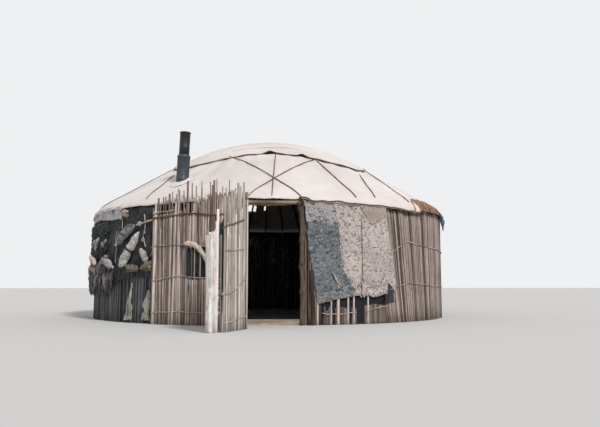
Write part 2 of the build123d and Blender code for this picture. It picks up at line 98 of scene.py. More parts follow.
class YurtSizes(bpy.types.PropertyGroup):
    mat_radius: FloatProperty(
        name="Mat radius", description="Middle of the reed canes on the round wall",
        default=2.970, unit="LENGTH")
    mat_height: FloatProperty(
        name="Mat height", description="Usual length of the canes", default=1.585, unit="LENGTH")
    cane_radius: FloatProperty(
        name="Cane radius", description="Mean radius of a cane", default=0.0112, unit="LENGTH")
    cane_sides: IntProperty(name="Cane sides", description="Sides of one cane", default=6, min=5)
    rope_radius: FloatProperty(
        name="Rope radius", description="Radius of the roof ropes", default=0.0068, unit="LENGTH")
    cloth_thickness: FloatProperty(
        name="Canvas thickness", description="Thickness of the roof canvas", default=0.004,
        unit="LENGTH")
    pipe_radius: FloatProperty(
        name="Pipe radius", description="Outer radius of the lower stovepipe", default=0.093,
        unit="LENGTH")
    pipe_top_radius: FloatProperty(
        name="Top pipe radius", description="Outer radius of the upper stovepipe", default=0.076,
        unit="LENGTH")


def colour(label, text, value):
    return FloatVectorProperty(name=label, description=text, subtype="COLOR", default=value,
                               min=0.0, max=1.0)


class YurtColours(bpy.types.PropertyGroup):
    canvas: colour("Canvas", "Roof canvas", (0.76, 0.70, 0.675))
    cap: colour("Crown cover", "Cloth over the crown", (0.77, 0.71, 0.665))
    reed: colour("Reed", "Pale side of the canes", (0.88, 0.75, 0.68))
    reed_dark: colour("Dark reed", "Shaded and rotten canes", (0.085, 0.058, 0.048))
    felt_grey: colour("Grey felt", "Felt right of the doorway", (0.21, 0.235, 0.26))
    felt_beige: colour("Beige felt", "Spotted felt at the right", (0.76, 0.66, 0.62))
    hide: colour("Hide", "Dark hides and felt at the left", (0.045, 0.057, 0.066))
    rope: colour("Rope", "Wool rope", (0.17, 0.10, 0.065))
    wood: colour("Wood", "Frame wood", (0.22, 0.145, 0.095))


# Mesh tools

def azimuth_point(azimuth, radius, height):
    angle = math.radians(azimuth)
    return Vector((radius * math.sin(angle), -radius * math.cos(angle), height))


def wall_points(radius, places):
    """Points round the yurt from (azimuth, height) pairs."""
    return [azimuth_point(azimuth, radius, height) for azimuth, height in places]


def line_lengths(line):
    total = [0.0]
    for (r0, z0), (r1, z1) in zip(line, line[1:]):
        total.append(total[-1] + math.hypot(r1 - r0, z1 - z0))
    return total


def on_line(line, distance, reach=0.05):
    """Point and outward normal (radial, up) on a profile line, rounded over a reach at corners."""
    lengths = line_lengths(line)

    def raw(value):
        value = min(max(value, 0.0), lengths[-1])
        for index in range(len(line) - 1):
            if value <= lengths[index + 1] + 1e-9:
                t = (value - lengths[index]) / (lengths[index + 1] - lengths[index])
                (r0, z0), (r1, z1) = line[index], line[index + 1]
                return r0 + (r1 - r0) * t, z0 + (z1 - z0) * t
        return line[-1]

    before, middle, after = raw(distance - reach), raw(distance), raw(distance + reach)
    point = [(before[k] + 2 * middle[k] + after[k]) / 4 for k in (0, 1)]
    if distance <= 1e-6 or distance >= lengths[-1] - 1e-6:
        point = middle
    dr, dz = after[0] - before[0], after[1] - before[1]
    size = math.hypot(dr, dz) or 1.0
    return point[0], point[1], -dz / size, dr / size


FULL = CROWN + ROOF
ROOF_LENGTH = line_lengths(ROOF)[-2]


def roof_height(radius):
    for (r0, z0), (r1, z1) in zip(FULL, FULL[1:]):
        if radius <= r1 and r1 > r0:
            return z0 + (z1 - z0) * (radius - r0) / (r1 - r0)
    return FULL[-1][1]


def ripple(x, y, z):
    return noise.noise(Vector((x, y, z)))


def wobble(x, y, z, scale, offset=0.0):
    return ripple(x * scale + offset, y * scale - offset, z * scale + 2 * offset)


def new_object(name, verts, faces, smooth=True):
    mesh = bpy.data.meshes.new(name)
    mesh.from_pydata([tuple(v) for v in verts], [], faces)
    mesh.update()
    if smooth:
        mesh.polygons.foreach_set("use_smooth", [True] * len(mesh.polygons))
    obj = bpy.data.objects.new(name, mesh)
    bpy.context.scene.collection.objects.link(obj)
    return obj


def add_uv(obj, per_vertex):
    layer = obj.data.uv_layers.new(name="Cloth")
    for loop in obj.data.loops:
        layer.data[loop.index].uv = per_vertex[loop.vertex_index]


def clean_loose(obj):
    bm = bmesh.new()
    bm.from_mesh(obj.data)
    loose = [v for v in bm.verts if not v.link_faces]
    bmesh.ops.delete(bm, geom=loose, context="VERTS")
    bm.to_mesh(obj.data)
    bm.free()


def bake_modifiers(obj):
    graph = bpy.context.evaluated_depsgraph_get()
    mesh = bpy.data.meshes.new_from_object(obj.evaluated_get(graph))
    obj.modifiers.clear()
    old = obj.data
    obj.data = mesh
    mesh.name = obj.name
    bpy.data.meshes.remove(old)


def thicken(obj, thickness):
    """Gives a sheet its thickness, inwards."""
    solid = obj.modifiers.new("Thickness", "SOLIDIFY")
    solid.thickness = thickness
    solid.offset = -1.0
    bake_modifiers(obj)


def cloth_grid(name, columns, rows, place, thickness, keep=None):
    """A sheet from place(u, v) with u and v from 0 to 1, its UV in metres, thickened inwards."""
    verts, uvs = [], []
    for j in range(rows + 1):
        for i in range(columns + 1):
            point, uv = place(i / columns, j / rows)
            verts.append(point)
            uvs.append(uv)
    faces = []
    for j in range(rows):
        for i in range(columns):
            a = j * (columns + 1) + i
            if keep is None or keep((i + 0.5) / columns, (j + 0.5) / rows):
                faces.append((a, a + columns + 1, a + columns + 2, a + 1))
    obj = new_object(name, verts, faces)
    add_uv(obj, uvs)
    clean_loose(obj)
    thicken(obj, thickness)
    return obj


def resample(points, spacing):
    points = [Vector(p) for p in points]
    lengths = [0.0]
    for a, b in zip(points, points[1:]):
        lengths.append(lengths[-1] + (b - a).length)
    count = max(2, int(lengths[-1] / spacing) + 1)
    result, index = [], 0
    for k in range(count + 1):
        target = lengths[-1] * k / count
        while index < len(points) - 2 and lengths[index + 1] < target:
            index += 1
        span = lengths[index + 1] - lengths[index] or 1.0
        result.append(points[index].lerp(points[index + 1], (target - lengths[index]) / span))
    return result


def smooth_path(points, spacing, rounds=4):
    path = resample(points, spacing)
    for _ in range(rounds):
        inner = [(path[i - 1] + 2 * path[i] + path[i + 1]) / 4 for i in range(1, len(path) - 1)]
        path = [path[0]] + inner + [path[-1]]
    return path


def ahead_at(path, index):
    """The unit vector along a path at one of its points."""
    return (path[min(index + 1, len(path) - 1)] - path[max(index - 1, 0)]).normalized()


def tube_faces(rings, sides):
    """Faces of a tube through rings of vertices, closed at its ends."""
    faces = []
    for index in range(rings - 1):
        for k in range(sides):
            a, b = index * sides + k, index * sides + (k + 1) % sides
            faces.append((a, b, b + sides, a + sides))
    faces.append(tuple(reversed(range(sides))))
    faces.append(tuple((rings - 1) * sides + k for k in range(sides)))
    return faces


def rope_geometry(points, radius, lay=0.05, sides=9, lobes=3, seed=0):
    """Vertices and faces of a rope along the points; its strands turn once in the lay."""
    strand_depth, unevenness = 0.2, 0.16
    verts = []
    travelled = 0.0
    for index, point in enumerate(points):
        ahead = ahead_at(points, index)
        side = ahead.cross(Vector((0.13, 0.27, 0.95))).normalized()
        up = side.cross(ahead)
        if index:
            travelled += (point - points[index - 1]).length
        swell = 1.0 + unevenness * wobble(point.x, point.y, point.z, 14.0, seed)
        for k in range(sides):
            angle = 2 * math.pi * k / sides
            lobe = 1 + strand_depth * math.cos(lobes * angle + travelled / lay * 2 * math.pi)
            reach = radius * lobe * swell
            verts.append(point + side * math.cos(angle) * reach + up * math.sin(angle) * reach)
    return verts, tube_faces(len(points), sides)


def join_geometry(name, parts):
    """Joins (vertices, faces) parts to one object."""
    verts, faces = [], []
    for part_verts, part_faces in parts:
        base = len(verts)
        verts += part_verts
        faces += [tuple(base + i for i in face) for face in part_faces]
    return new_object(name, verts, faces)


def knot_geometry(centre, radius, seed):
    """A small lump of wound cord: three short loops on each other."""
    rng = random.Random(seed)
    parts = []
    for _ in range(3):
        axis = Vector((rng.uniform(-1, 1), rng.uniform(-1, 1), rng.uniform(-0.4, 0.4))).normalized()
        side = axis.orthogonal().normalized()
        other = axis.cross(side)
        turns = [2 * math.pi * k / 12 for k in range(13)]
        ring = [Vector(centre) + (side * math.cos(turn) + other * math.sin(turn)) * radius
                for turn in turns]
        parts.append(rope_geometry(ring, radius * 0.42, lay=0.03, sides=6, seed=seed))
    return parts


def own(obj, slot, finish, *nodes):
    """The piece rides on the yurt, takes its finish and stands for the CAD nodes; the slot is not
    used.
    """
    obj.data.materials.clear()
    obj.data.materials.append(finish_of(finish))
    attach(obj, BODY)
    if nodes:
        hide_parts(*nodes)
    return obj


def piece(name, parts, slot, finish, *nodes):
    """Joins plain parts to one finished piece."""
    return own(join_geometry(name, parts), slot, finish, *nodes)


def cloth(obj, slot, finish, flat, held, rests, *nodes):
    own(obj, slot, finish, *nodes)


# Material tools

class Net:
    """A node tree with short ways to add to it; a value is a number, a colour or a socket."""

    def __init__(self, tree):
        self.tree = tree

    def feed(self, target, value):
        if isinstance(value, bpy.types.NodeSocket):
            self.tree.links.new(value, target)
        elif target.type == "RGBA":
            target.default_value = (*value[:3], 1.0)
        else:
            target.default_value = value

    def add(self, kind, values, **settings):
        """Adds a node, gives its inputs their values by name or index, returns its outputs."""
        made = self.tree.nodes.new(kind)
        for name, value in settings.items():
            setattr(made, name, value)
        for key, value in values.items():
            self.feed(made.inputs[key], value)
        return made.outputs

    def end(self, kind):
        """Adds a tree's last node and returns its inputs."""
        return self.tree.nodes.new(kind).inputs

    def math(self, kind, *values):
        return self.add("ShaderNodeMath", dict(enumerate(values)), operation=kind)[0]

    def times(self, a, b):
        return self.math("MULTIPLY", a, b)

    def vector(self, kind, *values):
        return self.add("ShaderNodeVectorMath", dict(enumerate(values)), operation=kind)[0]

    def axis(self, vector, index):
        return self.add("ShaderNodeSeparateXYZ", {0: vector})[index]

    def noise(self, vector, scale, detail=4.0, rough=0.55, distortion=0.0):
        return self.add("ShaderNodeTexNoise", {
            "Vector": vector, "Scale": scale, "Detail": detail, "Roughness": rough,
            "Distortion": distortion})["Fac"]

    def spread(self, value, low, high, start=0.0, stop=1.0):
        """The value stretched so that low becomes start and high becomes stop."""
        return self.add("ShaderNodeMapRange", {
            "Value": value, "From Min": low, "From Max": high, "To Min": start,
            "To Max": stop}, clamp=True)["Result"]

    def mix(self, share, a, b):
        return self.add("ShaderNodeMix", {0: share, 6: a, 7: b}, data_type="RGBA")[2]


def new_group(name, kind, inputs, outputs):
    """A group's net, its own inputs and its own outputs; inputs are (type, name, default)."""
    net = Net(bpy.data.node_groups.new(name, kind))
    for socket, label, value in inputs:
        item = net.tree.interface.new_socket(label, in_out="INPUT",
                                             socket_type="NodeSocket" + socket)
        if value is not None:
            item.default_value = value
    for socket, label in outputs:
        net.tree.interface.new_socket(label, in_out="OUTPUT", socket_type="NodeSocket" + socket)
    return net, net.add("NodeGroupInput", {}), net.end("NodeGroupOutput")


def weathering_group():
    """Broad stains, middling blotches and fine grain, the same for every finish."""
    if "Yurt Weathering" in bpy.data.node_groups:
        return bpy.data.node_groups["Yurt Weathering"]
    net, start, end = new_group(
        "Yurt Weathering", "ShaderNodeTree",
        (("Vector", "Vector", (0, 0, 0)), ("Float", "Stain Size", 1.5),
         ("Float", "Grain Size", 60.0)),
        (("Float", "Stain"), ("Float", "Blotch"), ("Float", "Grain")))
    vector, size = start["Vector"], start["Stain Size"]
    stain = net.noise(vector, size, 5.0, 0.6, 0.4)
    blotch = net.noise(vector, net.times(size, 6.0), 4.0, 0.6)
    grain = net.noise(vector, start["Grain Size"], 3.0, 0.6)
    net.feed(end["Stain"], net.spread(stain, 0.35, 0.68))
    net.feed(end["Blotch"], net.spread(blotch, 0.36, 0.66))
    net.feed(end["Grain"], net.spread(grain, 0.3, 0.7))
    return net.tree


def weave_group():
    """Crossing threads on a cloth's own UV map, in metres."""
    if "Yurt Weave" in bpy.data.node_groups:
        return bpy.data.node_groups["Yurt Weave"]
    net, start, end = new_group(
        "Yurt Weave", "ShaderNodeTree",
        (("Vector", "Vector", (0, 0, 0)), ("Float", "Threads", 260.0)), (("Float", "Height"),))
    waves = []
    for index in (0, 1):
        phase = net.times(net.axis(start["Vector"], index), start["Threads"])
        waves.append(net.math("SINE", net.times(phase, 2 * math.pi)))
    net.feed(end["Height"], net.math("MULTIPLY_ADD", net.times(*waves), 0.5))
    return net.tree


class Finish(Net):
    """A new material's net, with its shader's inputs and its Object and UV coordinates."""

    def __init__(self, name, rough):
        self.material = bpy.data.materials.new(name)
        self.material.use_nodes = True
        super().__init__(self.material.node_tree)
        self.tree.nodes.clear()
        shader = self.tree.nodes.new("ShaderNodeBsdfPrincipled")
        self.feed(self.end("ShaderNodeOutputMaterial")[0], shader.outputs[0])
        self.shader = shader.inputs
        self.feed(self.shader["Roughness"], rough)
        self.feed(self.shader["Specular IOR Level"], 0.5 if rough < 0.6 else 0.15)
        coords = self.add("ShaderNodeTexCoord", {})
        self.place, self.uv = coords["Object"], coords["UV"]

    def stretch(self, scale):
        return self.vector("MULTIPLY", self.place, scale)

    def marks(self, stain_size, grain_size):
        """The stain, blotch and grain masks of the weathering group."""
        masks = self.add("ShaderNodeGroup", {}, node_tree=weathering_group())
        inputs = masks[0].node.inputs
        for name, value in (("Vector", self.place), ("Stain Size", stain_size),
                            ("Grain Size", grain_size)):
            self.feed(inputs[name], value)
        return masks["Stain"], masks["Blotch"], masks["Grain"]

    def done(self, body, height, strength, distance, sheen=None):
        """Gives the shader its colour, its bump and its sheen, and returns the material."""
        self.feed(self.shader["Base Color"], body)
        normal = self.add("ShaderNodeBump", {"Strength": strength, "Distance": distance,
                                             "Height": height})[0]
        self.feed(self.shader["Normal"], normal)
        if sheen:
            self.feed(self.shader["Sheen Weight"], sheen)
        return self.material


def shade(value, factor):
    return tuple(min(1.0, c * factor) for c in value)


def canvas_material(name, base, staining=0.5):
    net = Finish(name, 0.92)
    stain, blotch, grain = net.marks(0.9, 90.0)
    dusty = net.mix(stain, shade(base, 0.86), shade(base, 1.08))
    body = net.mix(0.16 * staining, dusty, net.mix(blotch, dusty, (0.44, 0.35, 0.27)))
    body = net.mix(net.times(grain, 0.12), body, shade(base, 0.6))
    weave = net.add("ShaderNodeGroup", {}, node_tree=weave_group())
    net.feed(weave[0].node.inputs["Vector"], net.uv)
    height = net.math("ADD", net.times(weave[0], 0.25), blotch)
    return net.done(body, height, 0.35, 0.006, 0.1)


def reed_material(name, pale, dark, dirt=0.25, high=None):
    """Streaked canes with a tone for each; above the height called high they are browner."""
    net = Finish(name, 0.72)
    tint = net.add("ShaderNodeAttribute", {}, attribute_name="tint")["Fac"]
    streak = net.noise(net.stretch((150.0, 150.0, 5.0)), 1.0, 4.0, 0.65)
    streak = net.spread(streak, 0.38, 0.68)
    body = net.mix(net.times(streak, 0.5), net.mix(tint, dark, pale), shade(dark, 1.2))
    body = net.mix(net.times(net.marks(2.2, 120.0)[0], dirt), body, shade(dark, 0.8))
    joints = net.noise(net.stretch((60.0, 60.0, 9.0)), 1.0, 1.0, 0.3)
    joints = net.spread(joints, 0.66, 0.72)
    body = net.mix(net.times(joints, 0.45), body, shade(dark, 0.6))
    if high:
        wave = net.math("MULTIPLY_ADD", streak, 0.12, net.axis(net.place, 2))
        body = net.mix(net.times(net.spread(wave, high, high + 0.16), 0.5), body,
                       shade(dark, 1.9))
    return net.done(body, net.math("ADD", streak, joints), 0.4, 0.002)


def felt_material(name, base, dark, pale, blots=(12.0, 0.56), wisps=(18.0, 0.56), hem=None,
                  crown=None, squash=1.0, depth=0.7):
    """Matted wool with dark blots and pale wisps; hem and crown: (height, colour) of its bands."""
    net = Finish(name, 0.97)
    stain, blotch, grain = net.marks(2.6, 150.0)
    flat = net.stretch((1.0, 1.0, squash))
    spots = net.noise(flat, blots[0], 4.0, 0.6, 1.4)
    spots = net.spread(spots, blots[1], blots[1] + 0.06)
    wisp = net.noise(flat, wisps[0], 4.0, 0.62, 2.6)
    wisp = net.spread(wisp, wisps[1], wisps[1] + 0.10)
    body = net.mix(stain, shade(base, 0.74), shade(base, 1.22))
    wave = net.math("MULTIPLY_ADD", blotch, 0.10, net.axis(net.place, 2))
    for band, low, high in ((hem, 0.06, 0.0), (crown, 0.0, 0.08)):
        if band:
            inside = net.spread(wave, band[0] + low, band[0] + high)
            body = net.mix(net.times(inside, 0.85), body, band[1])
    body = net.mix(net.times(wisp, 0.8), body, pale)
    body = net.mix(net.times(spots, 0.85), body, dark)
    body = net.mix(net.times(grain, 0.3), body, shade(base, 0.5))
    height = net.math("ADD", net.times(wisp, 0.8), grain)
    height = net.math("SUBTRACT", height, net.times(spots, 0.6))
    return net.done(body, height, depth, 0.007, 0.2)


def bag_material(name, pale, stripe, band):
    """A wound sack: faint rings along its length and one dark band."""
    ring_step = 0.052
    net = Finish(name, 0.95)
    _, blotch, grain = net.marks(5.0, 170.0)
    along = net.math("MULTIPLY_ADD", blotch, 0.02, net.axis(net.uv, 0))
    rings = net.math("SINE", net.times(along, 2 * math.pi / ring_step))
    rings = net.spread(rings, 0.1, 0.9)
    body = net.mix(blotch, shade(pale, 0.45), shade(pale, 1.2))
    body = net.mix(net.times(rings, 0.28), body, stripe)
    inside = net.times(net.spread(along, 0.30, 0.31), net.spread(along, 0.355, 0.345))
    body = net.mix(inside, body, band)
    body = net.mix(net.times(grain, 0.35), body, shade(stripe, 0.5))
    return net.done(body, net.math("ADD", rings, grain), 0.5, 0.006)


def rope_material(name, base):
    net = Finish(name, 0.95)
    stain, _, grain = net.marks(5.0, 320.0)
    body = net.mix(stain, shade(base, 0.6), shade(base, 1.8))
    body = net.mix(net.times(grain, 0.5), body, shade(base, 0.45))
    return net.done(body, grain, 0.6, 0.002)


def wood_material(name, base, along=(40.0, 40.0, 3.0)):
    net = Finish(name, 0.7)
    streak = net.spread(net.noise(net.stretch(along), 1.0, 5.0, 0.65, 0.6), 0.3, 0.7)
    _, blotch, grain = net.marks(2.0, 120.0)
    body = net.mix(streak, shade(base, 0.55), shade(base, 1.45))
    body = net.mix(net.times(blotch, 0.35), body, shade(base, 0.4))
    return net.done(body, net.math("ADD", streak, grain), 0.5, 0.003)


def pipe_material(name, base, soot, metal, sooty):
    net = Finish(name, 0.5)
    _, blotch, _ = net.marks(4.0, 70.0)
    run = net.spread(net.noise(net.stretch((30.0, 30.0, 2.5)), 1.0, 5.0, 0.6), 0.38, 0.68)
    body = net.mix(blotch, shade(base, 0.75), shade(base, 1.2))
    net.feed(net.shader["Roughness"], net.spread(blotch, 0.0, 1.0, 0.38, 0.68))
    net.feed(net.shader["Metallic"], metal)
    return net.done(net.mix(net.times(run, sooty), body, soot), blotch, 0.15, 0.003)


# Each finish: its maker, its name and the maker's values. A user's colour is given by its name,
# or by its name and a factor.
FINISHES = {
    "canvas": (canvas_material, "Roof canvas", "canvas"),
    "cap": (canvas_material, "Crown cloth", "cap", 0.9),
    "rag": (canvas_material, "Pale rag", (0.66, 0.55, 0.49), 1.0),
    "blue_cloth": (canvas_material, "Blue rag", (0.10, 0.15, 0.30), 0.6),
    "reed": (reed_material, "Reed", "reed", "reed_dark", 0.25, 1.60),
    "reed_pale": (reed_material, "Sunlit reed", (0.97, 0.87, 0.81), ("reed", 0.27), 0.06, 1.42),
    # Old reed also finishes the mats' inner skins, where its near-black dark tone is painted shade
    "reed_dark": (reed_material, "Old reed", (0.20, 0.20, 0.205), (0.016, 0.018, 0.023), 0.35),
    "straw": (reed_material, "Red straw", (0.62, 0.37, 0.24), (0.05, 0.026, 0.018), 0.2),
    "grey": (felt_material, "Grey felt", "felt_grey", (0.035, 0.042, 0.052), (0.60, 0.60, 0.60),
             (14.0, 0.53), (17.0, 0.51), (0.44, (0.40, 0.35, 0.28)),
             (1.40, (0.74, 0.64, 0.65)), 1.7, 1.0),
    "beige": (felt_material, "Spotted felt", "felt_beige", (0.045, 0.034, 0.03),
              (0.86, 0.79, 0.74), (23.0, 0.533), (30.0, 0.52), (0.44, (0.38, 0.31, 0.24)),
              (1.47, (0.72, 0.62, 0.57)), 1.3, 0.9),
    "dark": (felt_material, "Dark felt", ("hide", 0.62), (0.012, 0.012, 0.014),
             (0.13, 0.115, 0.11), (6.0, 0.52), (9.0, 0.62), None, None, 0.6),
    "hem": (felt_material, "Worn hem", (0.48, 0.39, 0.32), (0.12, 0.085, 0.06),
            (0.56, 0.47, 0.38), (16.0, 0.58), (24.0, 0.58)),
    "strip": (felt_material, "Frayed felt", (0.40, 0.38, 0.33), (0.07, 0.065, 0.06),
              (0.70, 0.67, 0.62), (22.0, 0.54), (30.0, 0.54), None, None, 0.22),
    "hide": (felt_material, "Hide", (0.36, 0.33, 0.355), (0.025, 0.024, 0.03),
             (0.62, 0.58, 0.58), (8.0, 0.56), (12.0, 0.53)),
    "hide_pale": (felt_material, "Pale hide", (0.56, 0.49, 0.47), (0.07, 0.055, 0.05),
                  (0.80, 0.75, 0.72), (18.0, 0.56), (20.0, 0.54)),
    "hide_tan": (felt_material, "Tan hide", (0.42, 0.29, 0.20), (0.10, 0.05, 0.03),
                 (0.66, 0.52, 0.40), (13.0, 0.54), (16.0, 0.58)),
    "moss": (felt_material, "Green-brown wool", (0.22, 0.19, 0.12), (0.05, 0.045, 0.03),
             (0.42, 0.38, 0.27), (16.0, 0.54), (22.0, 0.56)),
    "fleece": (felt_material, "Fleece", (0.13, 0.115, 0.11), (0.025, 0.022, 0.024),
               (0.42, 0.40, 0.41), (13.0, 0.50), (20.0, 0.58), None, None, 1.0, 1.0),
    "fleece_pale": (felt_material, "Pale fleece", (0.40, 0.41, 0.44), (0.08, 0.08, 0.09),
                    (0.66, 0.66, 0.70), (20.0, 0.54), (24.0, 0.56), None, None, 1.0, 1.0),
    "fleece_white": (felt_material, "White fleece", (0.68, 0.63, 0.65), (0.08, 0.08, 0.09),
                     (0.82, 0.79, 0.80), (14.0, 0.58), (24.0, 0.52), None, None, 1.0, 1.0),
    "bag": (bag_material, "Striped sack", (0.86, 0.82, 0.76), (0.17, 0.17, 0.155),
            (0.10, 0.035, 0.05)),
    "rope": (rope_material, "Wool rope", "rope"),
    "rope_pale": (rope_material, "Pale cord", (0.44, 0.37, 0.32)),
    "rope_tan": (rope_material, "Tan rope", (0.26, 0.17, 0.10)),
    "wood": (wood_material, "Frame wood", "wood"),
    "wood_post": (wood_material, "Door post wood", (0.12, 0.095, 0.08)),
    "wood_dark": (wood_material, "Dark wood", (0.055, 0.04, 0.035)),
    "wood_bleached": (wood_material, "Bleached wood", (0.80, 0.72, 0.67)),
    "wood_pale": (wood_material, "Pale wood", (0.42, 0.34, 0.26), (3.0, 40.0, 40.0)),
    "zinc": (pipe_material, "Galvanised sheet", (0.05, 0.068, 0.085), (0.03, 0.03, 0.03),
             0.3, 0.5),
    "soot": (pipe_material, "Sooted sheet", (0.022, 0.022, 0.024), (0.008, 0.008, 0.008),
             0.2, 0.6),
}
MADE = {}


def finish_of(name):
    """Each finish is made once."""
    def value_of(given):
        tones = bpy.context.scene.yurt_colours
        if isinstance(given, str):
            return tuple(getattr(tones, given))
        if isinstance(given, tuple) and isinstance(given[0], str):
            return shade(getattr(tones, given[0]), given[1])
        return given

    if name not in MADE:
        maker, label, *values = FINISHES[name]
        MADE[name] = maker(label, *map(value_of, values))
    return MADE[name]


# Reed mats: points with a size, a lean and a tint, turned into canes by Geometry Nodes

def cane_tree():
    """Sets a jointed cane on every point, bends it a little and makes it one mesh."""
    if "Yurt Canes" in bpy.data.node_groups:
        return bpy.data.node_groups["Yurt Canes"]
    net, start, end = new_group(
        "Yurt Canes", "GeometryNodeTree",
        (("Geometry", "Geometry", None), ("Int", "Sides", 6), ("Int", "Segments", 7),
         ("Float", "Bend", 0.012), ("Int", "Seed", 0), ("Material", "Finish", None)),
        (("Geometry", "Geometry"),))
    cane = net.add("GeometryNodeMeshCylinder", {
        "Vertices": start["Sides"], "Side Segments": start["Segments"], "Radius": 1.0,
        "Depth": 1.0}, fill_type="NGON")
    lift = net.add("GeometryNodeTransform", {"Geometry": cane["Mesh"],
                                             "Translation": (0, 0, 0.5)})
    points = net.add("GeometryNodeMeshToPoints", {"Mesh": start["Geometry"]})
    turn, size = (net.add("GeometryNodeInputNamedAttribute", {"Name": label},
                          data_type="FLOAT_VECTOR")[0] for label in ("turn", "size"))
    placed = net.add("GeometryNodeInstanceOnPoints", {
        "Points": points[0], "Instance": lift[0], "Rotation": turn, "Scale": size})
    real = net.add("GeometryNodeRealizeInstances", {0: placed[0]})
    tint = net.add("GeometryNodeInputNamedAttribute", {"Name": "tint"}, data_type="FLOAT")[0]
    spin = net.add("ShaderNodeCombineXYZ", {0: net.times(tint, 40.0), 1: start["Seed"]})[0]
    position = net.add("GeometryNodeInputPosition", {})[0]
    apart = net.vector("MULTIPLY_ADD", position, (2.5, 2.5, 2.2), spin)
    field = net.add("ShaderNodeTexNoise", {"Vector": apart, "Scale": 1.0, "Detail": 1.0},
                    noise_dimensions="3D")["Color"]
    centred = net.vector("SUBTRACT", field, (0.5, 0.5, 0.5))
    sized = net.add("ShaderNodeVectorMath", {0: centred, "Scale": start["Bend"]},
                    operation="SCALE")[0]
    bend = net.add("GeometryNodeSetPosition", {
        "Geometry": real[0], "Offset": net.vector("MULTIPLY", sized, (1, 1, 0))})
    soft = net.add("GeometryNodeSetShadeSmooth", {0: bend[0]})
    painted = net.add("GeometryNodeSetMaterial", {"Geometry": soft[0],
                                                  "Material": start["Finish"]})
    net.feed(end[0], painted[0])
    return net.tree


def canes(name, stalks, finish, cad_node, bend=0.012, sides=6, segments=7):
    """Makes a piece of canes from stalks: a list of (foot, tip, radius, tint)."""
    mesh = bpy.data.meshes.new(name)
    mesh.from_pydata([tuple(s[0]) for s in stalks], [], [])
    for label, kind in (("turn", "FLOAT_VECTOR"), ("size", "FLOAT_VECTOR"), ("tint", "FLOAT")):
        mesh.attributes.new(label, kind, "POINT")
    turns, sizes, tints = (mesh.attributes[label].data for label in ("turn", "size", "tint"))
    for index, (foot, tip, radius, tint) in enumerate(stalks):
        run = tip - foot
        turn = run.to_track_quat("Z", "Y") @ Quaternion((0, 0, 1), index * 0.7)
        turns[index].vector = tuple(turn.to_euler())
        sizes[index].vector = (radius, radius, run.length)
        tints[index].value = tint
    obj = bpy.data.objects.new(name, mesh)
    bpy.context.scene.collection.objects.link(obj)
    tree = cane_tree()
    maker = obj.modifiers.new("Canes", "NODES")
    maker.node_group = tree
    values = {"Sides": sides, "Segments": segments, "Bend": bend, "Seed": 3,
              "Finish": finish_of(finish)}
    for item in tree.interface.items_tree:
        if item.in_out == "INPUT" and item.name in values:
            maker[item.identifier] = values[item.name]
    bake_modifiers(obj)
    own(obj, "reed", finish, cad_node)


def cane_tone(rng, tone=(0.0, 1.0)):
    """Most canes are middling, some are dark and some are pale: partly rot and bleaching, partly
    painted shade between the canes and painted highlights on them.
    """
    pick = rng.random()
    low, high = (0.0, 0.12) if pick < 0.3 else (0.4, 0.7) if pick < 0.62 else (0.84, 1.0)
    return tone[0] + (tone[1] - tone[0]) * rng.uniform(low, high)


def ramp(value, table):
    """Straight runs between (place, value) pairs."""
    if value <= table[0][0]:
        return table[0][1]
    for (a, x), (b, y) in zip(table, table[1:]):
        if value <= b:
            return x + (y - x) * (value - a) / (b - a)
    return table[-1][1]


def wall_stalks(start, end, radius, top, rng, tone=(0.0, 1.0), lean=((0, 0.0),), ragged=0.03,
                gaps=()):
    """Canes side by side on the round wall; gaps: (start, end, low, high) of broken canes."""
    cane = bpy.context.scene.yurt_sizes.cane_radius
    stalks = []
    for layer in (0, 1):
        azimuth = start + math.degrees(cane / radius) * (1 + 0.9 * layer)
        while azimuth < end:
            thick = rng.uniform(0.62, 0.98) if rng.random() < 0.82 else rng.uniform(1.05, 1.35)
            girth = cane * thick
            height = top(azimuth) + rng.uniform(-1.6, 0.5) * ragged
            if rng.random() < 0.12:
                height -= rng.uniform(1, 4) * ragged
            drift = rng.gauss(0.0, 0.16) if rng.random() < 0.9 else rng.gauss(0.0, 0.9)
            drift += ramp(azimuth, lean) * height
            place = radius - 0.004 * layer + rng.uniform(-0.001, 0.0015)
            tint = cane_tone(rng, tone) * (1.0 - 0.4 * layer)
            cuts = [(low, high) for a, b, low, high in gaps if a < azimuth < b]
            low, high = cuts[0] if cuts else (0.0, 0.0)
            spans = [(0.0, low + rng.uniform(-0.03, 0.03)),
                     (high + rng.uniform(-0.04, 0.04), height)]
            for z0, z1 in spans if cuts else [(0.0, height)]:
                if z1 - z0 > 0.06:
                    foot = azimuth_point(azimuth + drift * z0 / height, place, z0 + 0.001)
                    tip = azimuth_point(azimuth + drift * z1 / height,
                                        place + rng.gauss(0.0, 0.0015), z1)
                    stalks.append((foot, tip, girth, tint))
            azimuth += math.degrees(girth * rng.uniform(1.55, 2.15) / radius)
            if rng.random() < 0.06:
                azimuth += math.degrees(cane * rng.uniform(0.6, 1.6) / radius)
    return stalks


def mat_backing(name, start, end, radius, top):
    """The closed inner skin of a mat, which keeps daylight out; its near-black tone is painted
    shade that shows between the canes and through their gaps.
    """
    outer, foot, below_top = radius + 0.003, 0.002, 0.06
    steps = max(2, int((end - start) / 2.5))
    verts, faces = [], []
    for k in range(steps + 1):
        azimuth = start + (end - start) * k / steps
        height = top(azimuth) - below_top
        for r, z in ((radius, foot), (outer, foot), (outer, height), (radius, height)):
            verts.append(azimuth_point(azimuth, r, z))
    for k in range(steps):
        for j in range(4):
            a, b = 4 * k + j, 4 * k + (j + 1) % 4
            faces.append((a, a + 4, b + 4, b))
    faces.append((0, 1, 2, 3))
    faces.append(tuple(4 * steps + j for j in (3, 2, 1, 0)))
    own(new_object(name, verts, faces, False), "reed", "reed_dark")


